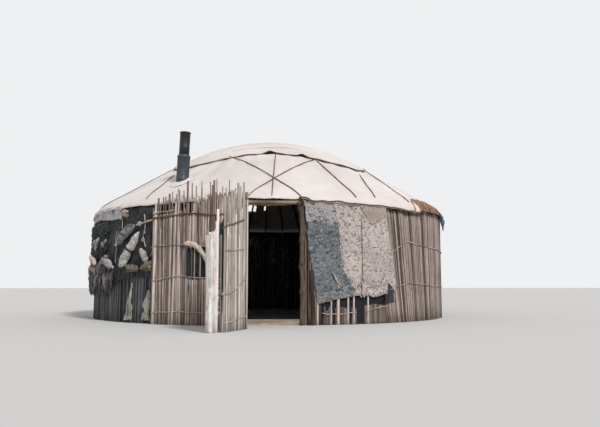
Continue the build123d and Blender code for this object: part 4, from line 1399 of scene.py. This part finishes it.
class YURT_OT_felts(YurtPiece):
    """Hangs the felts over the mats on both sides of the doorway"""
    bl_idname = "yurt.felts"
    bl_label = "Felts"

    # The line where the grey and the spotted felt meet, as (share of height, azimuth)
    seam = ((0, 22.9), (0.14, 22.3), (0.30, 19.7), (0.55, 19.2), (0.8, 18.4), (1, 17.0))

    def right_felts(self):
        def slit(azimuth, height):
            along = (azimuth - 15.7) / 2.2
            half = 0.013 * math.sin(math.pi * along) + 0.003
            return 0 < along < 1 and abs(height - (0.725 - 0.17 * along)) < half

        def torn(azimuth, height):
            """The torn lower corner: a three-cornered bite, dark with the painted shade of the
            sheet behind it.
            """
            inner, outer = 33.4 + 2 * (height - 0.32), 34.3 + 3.4 * (0.56 - height) / 0.16
            return inner < azimuth < outer and 0.30 < height < 0.56

        grey = wall_cloth(
            "felt_grey_sheet", [(0, 0.285), (0.25, 0.315), (0.6, 0.355), (1, 0.385)], 1.67,
            ([(0, 12.6), (0.1, 12.0), (0.3, 11.1), (0.5, 10.2), (0.75, 9.6), (0.93, 9.2),
              (1, 8.5)], self.seam), FELT_FACE, 2.0, 0.011, 130, 150, hole=slit, hem=0.13)
        cloth(grey, "grey_felt", "grey", (0.77, 1.45), "hung", ["reed_mat_right_front"],
              "wall_felt_grey")
        spotted = wall_cloth(
            "felt_spotted_sheet", [(0, 0.385), (0.2, 0.40), (0.45, 0.37), (0.7, 0.40),
                                   (0.85, 0.43), (1, 0.40)], 1.67,
            ([(share, azimuth - 0.5) for share, azimuth in self.seam],
             [(0, 36.6), (0.1, 37.0), (0.25, 36.5), (0.5, 35.2), (0.8, 33.8), (1, 33.0)]),
            FELT_FACE + 0.003, 6.0, 0.009, 170, 140, hole=torn, hem=0.07)
        cloth(spotted, "beige_felt", "beige", (1.0, 1.4), "hung",
              ["reed_mat_right_front", "reed_mat_right"], "wall_felt_spotted")
        # A dark sheet behind the torn corner: painted shade in the hole
        dark = wall_cloth("felt_torn_corner", [(0, 0.27), (1, 0.30)], 0.60,
                          ([(0, 32.9)], [(0, 36.6), (1, 35.0)]), UNDER_FELT, 44.0, 0.003, 16, 16,
                          0.003)
        cloth(dark, "dark_felt", "dark", (0.19, 0.33), "hung", ["reed_mat_right_front"])
        flap = wall_cloth(
            "felt_top_flap", [(0, 1.60), (0.42, 1.385), (0.6, 1.40), (1, 1.50)], 1.65,
            ([(0, 24.8), (1, 24.6)], [(0, 32.9), (1, 33.4)]), FELT_FACE + 0.017, 12.0, 0.008,
            50, 30, 0.006)
        cloth(flap, "beige_felt", "hem", (0.46, 0.26), "hung", ["wall_felt_spotted"])

    def trimmings(self):
        """The hanging cord, the knotted corner and the thick lips of the right felts."""
        face = FELT_FACE + 0.012
        parts = [wall_cord([(25.0, 1.52), (25.2, 1.0), (25.2, 0.58)], face, random.Random(7),
                           0.0042, 0.004)]
        parts += knot_geometry(azimuth_point(25.2, face + 0.006, 0.575), 0.016, 9)
        piece("felt_hanging_cord", parts, "rope", "rope_tan")
        bunch = wall_points(face + 0.006, ((24.6, 0.59), (25.2, 0.54), (25.6, 0.48),
                                           (25.1, 0.42), (25.7, 0.365)))
        fold = wall_points(face, ((24.0, 0.52), (24.4, 0.46), (24.3, 0.40), (24.9, 0.36)))
        parts = [lump(bunch, [(0, 0.018), (0.3, 0.032), (0.7, 0.03), (1, 0.014)], 3.0, 0.5, 0.6,
                      18, 0.014),
                 lump(fold, [(0, 0.012), (0.5, 0.024), (1, 0.01)], 5.0, 0.5, 0.6, 16, 0.014)]
        piece("felt_knotted_corner", parts, "beige_felt", "hide_pale")
        lip = wall_points(FELT_FACE + 0.008, ((16.1, 0.72), (16.9, 0.67), (17.6, 0.60),
                                              (18.1, 0.55), (18.9, 0.53)))
        widths = [(0, 0.008), (0.5, 0.02), (1, 0.008)]
        piece("felt_tear_lip", [lump(lip, widths, 9.0, 0.5, 0.5, 16, 0.014)], "grey_felt", "hem")
        ridge = wall_points(FELT_FACE + 0.011, ((26.5, 0.50), (28.5, 0.515), (30.5, 0.53),
                                                (32.6, 0.555), (33.6, 0.56)))
        widths = [(0, 0.006), (0.5, 0.013), (1, 0.008)]
        piece("felt_hem_ridge", [lump(ridge, widths, 4.0, 0.7, 0.5, 14, 0.014)], "beige_felt",
              "hem")

    def make(self, sizes):
        self.right_felts()
        self.trimmings()
        left = wall_cloth(
            "felt_left_sheet", [(0, 0.47), (0.3, 0.50), (0.62, 0.58), (0.8, 0.66), (1, 0.64)],
            1.64, ([(0, -80.0)], [(0, -30.4)]), FELT_FACE, 8.0, 0.02, 210)
        cloth(left, "dark_felt", "dark", (2.75, 1.4), "hung", ["reed_mat_left"], "wall_felt_left")
        for name, bottom, edges, top, seed in (
                ("felt_strip_long", [(0, 0.03), (1, 0.05)],
                 ([(0, -44.4), (0.25, -43.4), (0.5, -43.2), (0.7, -42.0), (1, -41.0)],
                  [(0, -40.9), (0.3, -40.3), (0.5, -41.1), (1, -40.5)]), 0.56, 15.0),
                ("felt_strip_short", [(0, 0.05), (1, 0.04)],
                 ([(0, -36.8), (0.3, -36.0), (0.5, -36.3), (0.7, -35.4), (1, -34.6)],
                  [(0, -33.3), (0.3, -33.9), (0.6, -33.6), (1, -33.9)]), 0.47, 19.0)):
            strip = wall_cloth(name, bottom, top, edges, STRIP_FACE, seed, 0.012, 30, 70, 0.006,
                               0.012)
            cloth(strip, "grey_felt", "strip", (0.26, 0.58), "hung", ["reed_mat_left"])


class YURT_OT_hides(YurtPiece):
    """Hangs the hides, bags and fleeces on the left wall"""
    bl_idname = "yurt.hides"
    bl_label = "Hides and bags"

    # Name, CAD node, finish, distance off the felt, (azimuth, height) line and widths by share
    bundles = (
        ("hide_roll", "hide_roll_upper", "hide", 0.066,
         ((-46.6, 1.14), (-45.0, 1.20), (-43.0, 1.275), (-41.0, 1.335), (-38.9, 1.38)),
         [(0, 0.05), (0.3, 0.078), (0.7, 0.074), (0.9, 0.05), (1, 0.03)]),
        ("hide_bag_long", "hide_bag_striped", "bag", 0.074,
         ((-36.9, 1.285), (-38.3, 1.20), (-40.4, 1.06), (-42.6, 0.92), (-44.9, 0.79)),
         [(0, 0.024), (0.12, 0.05), (0.5, 0.072), (0.8, 0.072), (1, 0.04)]),
        ("hide_bag_short", "hide_bag_small", "hide_pale", 0.05,
         ((-37.0, 1.05), (-36.2, 1.0), (-35.2, 0.93), (-34.4, 0.855)),
         [(0, 0.025), (0.4, 0.055), (0.8, 0.05), (1, 0.028)]),
        ("hide_lump_low", None, "moss", 0.035,
         ((-42.6, 0.80), (-41.0, 0.765), (-39.2, 0.755), (-37.8, 0.79)),
         [(0, 0.03), (0.5, 0.062), (1, 0.035)]),
        ("hide_lump_right", None, "moss", 0.03,
         ((-36.8, 0.78), (-35.4, 0.77), (-34.0, 0.82), (-32.9, 0.87)),
         [(0, 0.03), (0.5, 0.05), (1, 0.025)]),
        ("hide_lump_brown", None, "hide_tan", 0.03,
         ((-34.6, 0.86), (-33.9, 0.80), (-33.2, 0.73)), [(0, 0.02), (0.5, 0.035), (1, 0.02)]),
        ("hide_bundle_white", None, "hide_pale", 0.085,
         ((-54.2, 0.885), (-52.2, 0.875), (-49.6, 0.83), (-47.6, 0.78)),
         [(0, 0.015), (0.3, 0.038), (0.7, 0.045), (1, 0.025)]),
        ("hide_lump_grey", None, "fleece_pale", 0.07,
         ((-58.5, 0.79), (-56.2, 0.84), (-53.8, 0.93), (-51.6, 0.965)),
         [(0, 0.008), (0.5, 0.028), (0.8, 0.04), (1, 0.02)]),
        ("hide_lump_lilac", None, "fleece_pale", 0.05,
         ((-57.0, 1.11), (-55.4, 1.16), (-53.8, 1.21)), [(0, 0.025), (0.6, 0.04), (1, 0.02)]),
        ("hide_lump_far", None, "hide_pale", 0.06,
         ((-64.6, 1.08), (-63.0, 1.15), (-61.4, 1.20), (-59.6, 1.26)),
         [(0, 0.02), (0.5, 0.05), (1, 0.03)]),
        ("hide_lump_orange", None, "rag", 0.078,
         ((-66.0, 0.94), (-64.6, 0.92), (-62.8, 0.90), (-60.6, 0.85)),
         [(0, 0.03), (0.5, 0.06), (1, 0.035)]),
        ("hide_lump_rust", None, "hide_tan", 0.07,
         ((-65.6, 0.77), (-63.8, 0.775), (-61.8, 0.76)), [(0, 0.034), (0.5, 0.06), (1, 0.034)]),
        ("hide_lump_eave", None, "hide_pale", 0.02,
         ((-46.6, 1.60), (-44.8, 1.61), (-42.8, 1.59)), [(0, 0.015), (0.5, 0.028), (1, 0.015)]),
        ("hide_lump_box", None, "hide_tan", 0.018,
         ((-45.3, 1.54), (-44.0, 1.535), (-42.8, 1.545)), [(0, 0.03), (0.5, 0.04), (1, 0.03)]),
    )
    # Rows of the fleece heap: top, foot, azimuths, distance off the felt
    rows = ((0.62, 0.34, -76.5, -49.5, 0.03), (0.74, 0.46, -77, -48, 0.045),
            (0.86, 0.60, -76.5, -49.5, 0.052))
    # Cords with their radii, and knots as (azimuth, height, size)
    cords = (([(-45.9, 1.52), (-46.0, 1.35)], 0.006),
             ([(-48.6, 1.33), (-49.4, 1.22), (-48.7, 1.08), (-49.3, 0.86)], 0.007),
             ([(-36.3, 1.53), (-35.9, 1.36), (-36.7, 1.22), (-35.6, 1.07)], 0.0075),
             ([(-33.9, 0.94), (-32.9, 1.02), (-31.6, 1.07)], 0.006),
             ([(-55.6, 1.42), (-55.0, 1.30), (-55.4, 1.22)], 0.006))
    knots = ((-48.9, 1.12, 0.017), (-48.2, 1.05, 0.012), (-36.5, 1.17, 0.018),
             (-36.0, 1.27, 0.015), (-45.0, 0.97, 0.012))

    def bundle(self, name, node_name, finish, out, path, widths):
        sides, step = 28, 0.016
        line = wall_points(FELT_FACE + out, path)
        seed = out * 90 + line[0].z * 7
        squash, rough = (0.78, 0.3) if node_name else (0.6, 0.75)
        parts = [lump(line, widths, seed, squash, rough, sides, step)]
        for k in range(0 if node_name else 4):
            aside = Vector((math.sin(seed + 2.1 * k), 0, math.cos(seed + 2.7 * k))) * 0.035
            parts.append(lump([p + aside for p in line[:-1]], [(s, w * 0.55) for s, w in widths],
                              seed + k, 0.6, 0.8, 16))
        made = join_geometry(name, parts)
        if finish == "bag":
            add_uv(made, [(k // sides * step, k % sides / sides)
                          for k in range(len(made.data.vertices))])
        own(made, "fleece" if "fleece" in finish else "hide", finish,
            *([node_name] if node_name else []))

    def fleeces(self):
        rng = random.Random(SEED + 21)
        parts, tufts = [], []
        for high, low, start, end, out in self.rows:
            azimuth = start
            while azimuth < end:
                top = high + rng.uniform(-0.05, 0.02)
                fall = (top - low) * rng.uniform(0.75, 1.05)
                slant = rng.uniform(-2.6, 0.6)
                line = [azimuth_point(azimuth + slant * t,
                                      FELT_FACE + out + 0.02 * math.sin(3 * t), top - fall * t)
                        for t in (0, 0.3, 0.6, 1)]
                girth = rng.uniform(0.026, 0.046)
                shape = lump(line, [(0, girth * 0.8), (0.4, girth), (1, girth * 0.3)],
                             rng.uniform(0, 90), 0.6, 0.7, 16, 0.018)
                # Pale locks on the upper rows between azimuths -63 and -53 are painted highlights;
                # the few elsewhere are pale wool
                light = -63 < azimuth < -53 and high > 0.7 and rng.random() < 0.4
                (tufts if light or rng.random() < 0.06 else parts).append(shape)
                azimuth += rng.uniform(0.9, 1.7)
        piece("fleece_pile", parts, "fleece", "fleece", "fleece_bundle")
        piece("fleece_tufts", tufts, "fleece", "fleece_pale")

    def make(self, sizes):
        for facts in self.bundles:
            self.bundle(*facts)
        hung = wall_cloth(
            "hide_hung_sheet", [(0, 0.88), (0.3, 0.84), (0.55, 0.95), (0.75, 0.88), (1, 1.02)],
            1.475, ([(0, -77.5)], [(0, -55.5), (0.3, -52.5), (0.55, -55.0), (0.8, -51.8),
                                   (1, -53.5)]),
            HIDE_FACE, 24.0, 0.05, 110, 70, puff=0.02)
        cloth(hung, "hide", "dark", (1.46, 0.68), "hung", ["wall_felt_left"], "hides_hung_left")
        band = wall_cloth(
            "eave_fleece_left", [(0, 1.53), (0.3, 1.51), (0.55, 1.54), (0.8, 1.505), (1, 1.50)],
            1.69, ([(0, -82)], [(0, -46), (1, -46.6)]), FLEECE_FACE, 51.0, 0.014, 130, 24)
        cloth(band, "fleece", "fleece_white", (1.5, 0.23), "hung", ["wall_felt_left"])
        self.fleeces()
        rng = random.Random(SEED + 23)
        parts = [wall_cord(line, FELT_FACE + 0.012, rng, size, 0.02) for line, size in self.cords]
        for azimuth, height, size in self.knots:
            parts += knot_geometry(azimuth_point(azimuth, FELT_FACE + 0.02, height), size,
                                   height * 9)
        tie = [azimuth_point(a, FELT_FACE + out, z) for a, out, z in
               ((-38.6, 0.055, 1.385), (-37.0, 0.03, 1.40), (-35.0, 0.02, 1.43),
                (-32.2, 0.015, 1.455))]
        parts.append(rope_geometry(smooth_path(tie, 0.014, 2), 0.012, seed=6))
        parts += knot_geometry(azimuth_point(-37.4, FELT_FACE + 0.045, 1.40), 0.026, 77)
        piece("hide_ties", parts, "rope", "rope_pale")


class YURT_OT_pipe(YurtPiece):
    """Sets the leaning stovepipe with its seams and the cloth flap at its foot"""
    bl_idname = "yurt.pipe"
    bl_label = "Stovepipe"

    def make(self, sizes):
        place = (Matrix.Translation(PIPE_FOOT)
                 @ Matrix.Rotation(math.radians(PIPE_LEAN), 4, "Y"))

        def stand(name, points, slot, finish, node):
            verts, faces = lathe(points)
            piece(name, [([place @ v for v in verts], faces)], slot, finish, node)

        # Both outlines start at the inner foot, go up over the beads and end inside the top
        big, small = sizes.pipe_radius, sizes.pipe_top_radius
        sheet = 0.002
        sleeve = small + 0.0006
        stand("pipe_lower_sheet",
              [(big - sheet, -0.3), (big, -0.3), (big, 0.02), (big + 0.002, 0.024),
               (big + 0.002, 0.032), (big, 0.036), (big, 0.352), (big + 0.004, 0.358),
               (big + 0.0045, 0.366), (big + 0.004, 0.374), (big, 0.380), (big, 0.384),
               (sleeve + 0.003, 0.405), (sleeve, 0.405), (big - sheet, 0.380)],
              "galvanised", "zinc", "stovepipe_lower")
        stand("pipe_upper_sheet",
              [(small - sheet, 0.345), (small, 0.345), (small, 0.50), (small + 0.0015, 0.503),
               (small + 0.0015, 0.509), (small, 0.512), (small, 0.724), (small + 0.005, 0.728),
               (small + 0.007, 0.733), (small + 0.006, 0.741), (small, 0.745),
               (small - sheet, 0.745)],
              "sooted_steel", "soot", "stovepipe_upper")

        def flap(u, v):
            angle = 2 * math.pi * u
            c, s = math.cos(angle), math.sin(angle)
            reach = 0.0945 + v * (0.085 + 0.03 * ripple(c * 1.4, s * 1.4, 4))
            x, y = PIPE_FOOT[0] + reach * c, PIPE_FOOT[1] + reach * s
            height = roof_height(math.hypot(x, y)) + 0.012 + 0.03 * (1 - v) ** 2
            height += 0.012 * ripple(x * 16, y * 16, 2) * (0.3 + v)
            return Vector((x, y, height)), (x, y)

        cloth(cloth_grid("pipe_foot_cloth", 72, 14, flap, 0.003), "canvas", "cap", (0.38, 0.38),
              "laid", ["roof_cover_front"], "pipe_flap")


class YURT_OT_ropes(YurtPiece):
    """Ties the ropes over the roof, along its edge and round the wall"""
    bl_idname = "yurt.ropes"
    bl_label = "Ropes"

    # Roof ropes by the (azimuth, share of the hem's radius) of their two ends
    over_roof = {
        "front": [((-23.9, 0.542), (8.1, 0.988)), ((26.1, 0.563), (-5.6, 0.983)),
                  ((3.2, 0.50), (0.4, 0.983))],
        "sides": [((23.8, 0.590), (24.0, 0.977)), ((39.8, 0.718), (30.9, 0.967)),
                  ((56.7, 0.620), (45.0, 0.972)), ((-42.8, 0.730), (-37.0, 0.977)),
                  ((-61.9, 0.600), (-65.2, 0.983))],
        "rear": [((171.9, 0.520), (161.1, 0.971)), ((149.0, 0.600), (173.6, 0.975)),
                 ((208.5, 0.600), (207.3, 0.974))],
    }
    # Cords round the tall mat and the right mats, as (azimuth, height)
    tall_cords = ([(-32.4, 0.16), (-24, 0.18), (-15.5, 0.165), (-9, 0.17)],
                  [(-32.4, 0.585), (-28.5, 0.62), (-24, 0.655), (-15.5, 0.63), (-9, 0.63)],
                  [(-32.4, 1.05), (-31.6, 1.08), (-24, 1.085), (-15, 1.05), (-9, 1.06)],
                  [(-32.4, 1.52), (-29, 1.545), (-25, 1.55)])
    right_cords = ([(34.6, 0.97), (37.5, 1.05), (42, 1.17), (50, 1.13), (60, 1.1), (84.6, 1.06)],
                   [(34.6, 0.47), (37.7, 0.51), (42, 0.565), (60, 0.52), (84.6, 0.5)],
                   [(13.6, 0.165), (15.2, 0.14), (19, 0.145)], [(19, 0.15), (23.4, 0.165)],
                   [(26.5, 0.17), (29, 0.215), (33.8, 0.235)])

    def make(self, sizes):
        size = sizes.rope_radius
        for group, ropes in self.over_roof.items():
            parts = []
            for k, ends in enumerate(ropes):
                plan = [azimuth_point(a, share * HEM_RADIUS, 0)[:2] for a, share in ends]
                parts.append(rope_geometry(roof_rope(*plan), size * (1.0 - 0.06 * k), seed=k))
            piece("roof_rope_" + group, parts, "rope", "rope", "roof_ropes_" + group)
        edge = []
        for k in range(58):
            azimuth = 7.6 + k * 0.74
            point = canvas_point(azimuth, hem_distance(azimuth) - 0.012, 0.010)
            point.z += 0.016 * ripple(azimuth * 0.3, 0, 11)
            edge.append(point)
        parts = [rope_geometry(smooth_path(edge, 0.014, 2), size * 1.3, seed=3)]
        for offset, height in ((0, 1.70), (0.4, 1.66), (-0.5, 1.63)):
            parts += knot_geometry(azimuth_point(7.9 + offset, 3.02, height), 0.022, 5)
        for tail in ([(7.7, 1.66), (7.2, 1.60), (7.5, 1.53)], [(8.4, 1.66), (8.9, 1.58)]):
            parts.append(wall_cord(tail, 3.01, random.Random(4), 0.007))
        piece("eave_rope_line", parts, "rope", "rope", "eave_rope")

        rng = random.Random(SEED + 31)
        parts = [wall_cord([(85.2, height), (140, height - 0.02), (200, height + 0.02),
                            (274.6, height)], GIRTH_LINE, rng, amount=0.02)
                 for height in (0.33, 0.93, 1.48)]
        parts += [wall_cord(cord, TALL_LINE, rng, 0.0062) for cord in self.tall_cords]
        parts += [wall_cord(cord, UNDER_FELT, rng, 0.0058) for cord in self.right_cords]
        piece("girth_cords", parts, "rope", "rope_pale", "girth_ropes")
        dark = wall_cord([(-32.4, 1.455), (-28, 1.47), (-23, 1.50), (-20, 1.505), (-15, 1.48),
                          (-9, 1.49)], TALL_LINE + 0.001, rng, 0.0095)
        piece("tall_mat_rope", [dark], "rope", "rope")


class YURT_OT_under_layer(YurtPiece):
    """Makes the straw layer that shows under the roof edge at the right"""
    bl_idname = "yurt.under_layer"
    bl_label = "Straw under-layer"

    def make(self, sizes):
        rng = random.Random(SEED + 41)
        bend_radius = 2.935
        stalks = []
        for layer in (0, 1, 2):
            azimuth = 49.6
            lift = 0.004 + 0.007 * layer
            while azimuth < 85.2:
                high = rng.uniform(2.815, 2.86)
                low = rng.uniform(2.985, 3.03)
                turn = rng.gauss(0, 0.5) * (1 + layer)
                middle = azimuth_point(azimuth + turn, bend_radius,
                                       roof_height(bend_radius) + lift + 0.004)
                foot = azimuth_point(azimuth + turn * 1.5, low, roof_height(min(low, 3.02)) - 0.01)
                foot += azimuth_point(azimuth, lift, 0)
                head = azimuth_point(azimuth, high, roof_height(high) + lift - 0.006)
                girth = 0.0085 * rng.uniform(0.6, 1.3)
                tint = cane_tone(rng)
                rng.random()  # Keeps the layout: the later draws depend on this one
                stalks += [(foot, middle, girth, tint), (middle, head, girth, tint)]
                azimuth += rng.uniform(0.26, 0.46)
        canes("roof_straw_right", stalks, "straw", "roof_reed_layer_right", 0.004, 5, 2)
        parts = []
        for azimuth, height, size, seed in ((68.5, 1.64, 0.08, 1.0), (72.0, 1.60, 0.1, 2.0),
                                            (75.5, 1.56, 0.09, 3.0)):
            path = [azimuth_point(azimuth + a, 3.03, height + z) for a, z in
                    ((-1.2, 0.03), (0, 0.0), (0.9, -0.05), (1.3, -0.12))]
            parts.append(lump(path, [(0, 0.02), (0.4, size * 0.6), (1, 0.018)], seed, 0.5, 0.5,
                              18, 0.018))
        piece("roof_blue_rags", parts, "canvas", "blue_cloth")


class YURT_OT_stage(YurtPiece):
    """Sets the pale floor, the light and the camera"""
    bl_idname = "yurt.stage"
    bl_label = "Stage"

    def make(self, sizes):
        scene = bpy.context.scene
        bpy.ops.mesh.primitive_plane_add(size=160, location=(0, 0, 0))
        floor = bpy.context.object
        floor.name = "stage_floor"
        finish = Finish("Stage floor", 0.95)
        finish.feed(finish.shader["Base Color"], FLOOR_COLOUR)
        floor.data.materials.append(finish.material)

        scene.world = bpy.data.worlds.new("Yurt studio")
        scene.world.use_nodes = True
        net = Net(scene.world.node_tree)
        net.tree.nodes.clear()
        light = net.add("ShaderNodeBackground", {"Color": (1.0, 1.0, 1.0),
                                                 "Strength": SKY_STRENGTH})
        seen = net.add("ShaderNodeBackground", {"Color": BACKGROUND})
        rays = net.add("ShaderNodeLightPath", {})
        either = net.math("MAXIMUM", rays["Is Camera Ray"], rays["Is Glossy Ray"])
        either = net.math("MAXIMUM", either, rays["Is Transmission Ray"])
        mixed = net.add("ShaderNodeMixShader", {0: either, 1: light[0], 2: seen[0]})
        net.feed(net.end("ShaderNodeOutputWorld")[0], mixed[0])

        sun = bpy.data.lights.new("Soft sun", "SUN")
        sun.energy = LAMP_POWER
        sun.angle = math.radians(10)
        lamp = bpy.data.objects.new("Soft sun", sun)
        lamp.rotation_euler = [math.radians(turn) for turn in LAMP_TURN]
        lens = bpy.data.cameras.new("Photo view")
        lens.sensor_width = 36.0
        lens.lens = LENS
        lens.clip_end = 400.0
        camera = bpy.data.objects.new("Photo view", lens)
        camera.location = CAMERA_PLACE
        camera.rotation_euler = [math.radians(turn) for turn in CAMERA_TURN]
        for item in (lamp, camera):
            scene.collection.objects.link(item)
        scene.camera = camera
        scene.view_settings.view_transform = "Standard"


PIECES = (YURT_OT_stage, YURT_OT_frame, YURT_OT_door_frame, YURT_OT_mats, YURT_OT_screen,
          YURT_OT_felts, YURT_OT_hides, YURT_OT_roof, YURT_OT_under_layer, YURT_OT_crown_cover,
          YURT_OT_pipe, YURT_OT_ropes)


class YURT_PT_panel(bpy.types.Panel):
    """Lists the yurt's pieces and its settings"""
    bl_idname = "YURT_PT_panel"
    bl_label = "Yurt"
    bl_space_type = "VIEW_3D"
    bl_region_type = "UI"
    bl_category = "Yurt"

    def draw(self, context):
        for group in (context.scene.yurt_sizes, context.scene.yurt_colours):
            for name in group.__annotations__:
                self.layout.prop(group, name)
        for kind in PIECES:
            self.layout.operator(kind.bl_idname)


CLASSES = (YurtSizes, YurtColours) + PIECES + (YURT_PT_panel,)


def register():
    for item in CLASSES:
        bpy.utils.register_class(item)
    bpy.types.Scene.yurt_sizes = bpy.props.PointerProperty(type=YurtSizes)
    bpy.types.Scene.yurt_colours = bpy.props.PointerProperty(type=YurtColours)


def unregister():
    del bpy.types.Scene.yurt_colours
    del bpy.types.Scene.yurt_sizes
    for item in reversed(CLASSES):
        bpy.utils.unregister_class(item)


def main():
    register()
    for kind in PIECES:
        group, name = kind.bl_idname.split(".")
        getattr(getattr(bpy.ops, group), name)()


if __name__ == "__main__":
    main()
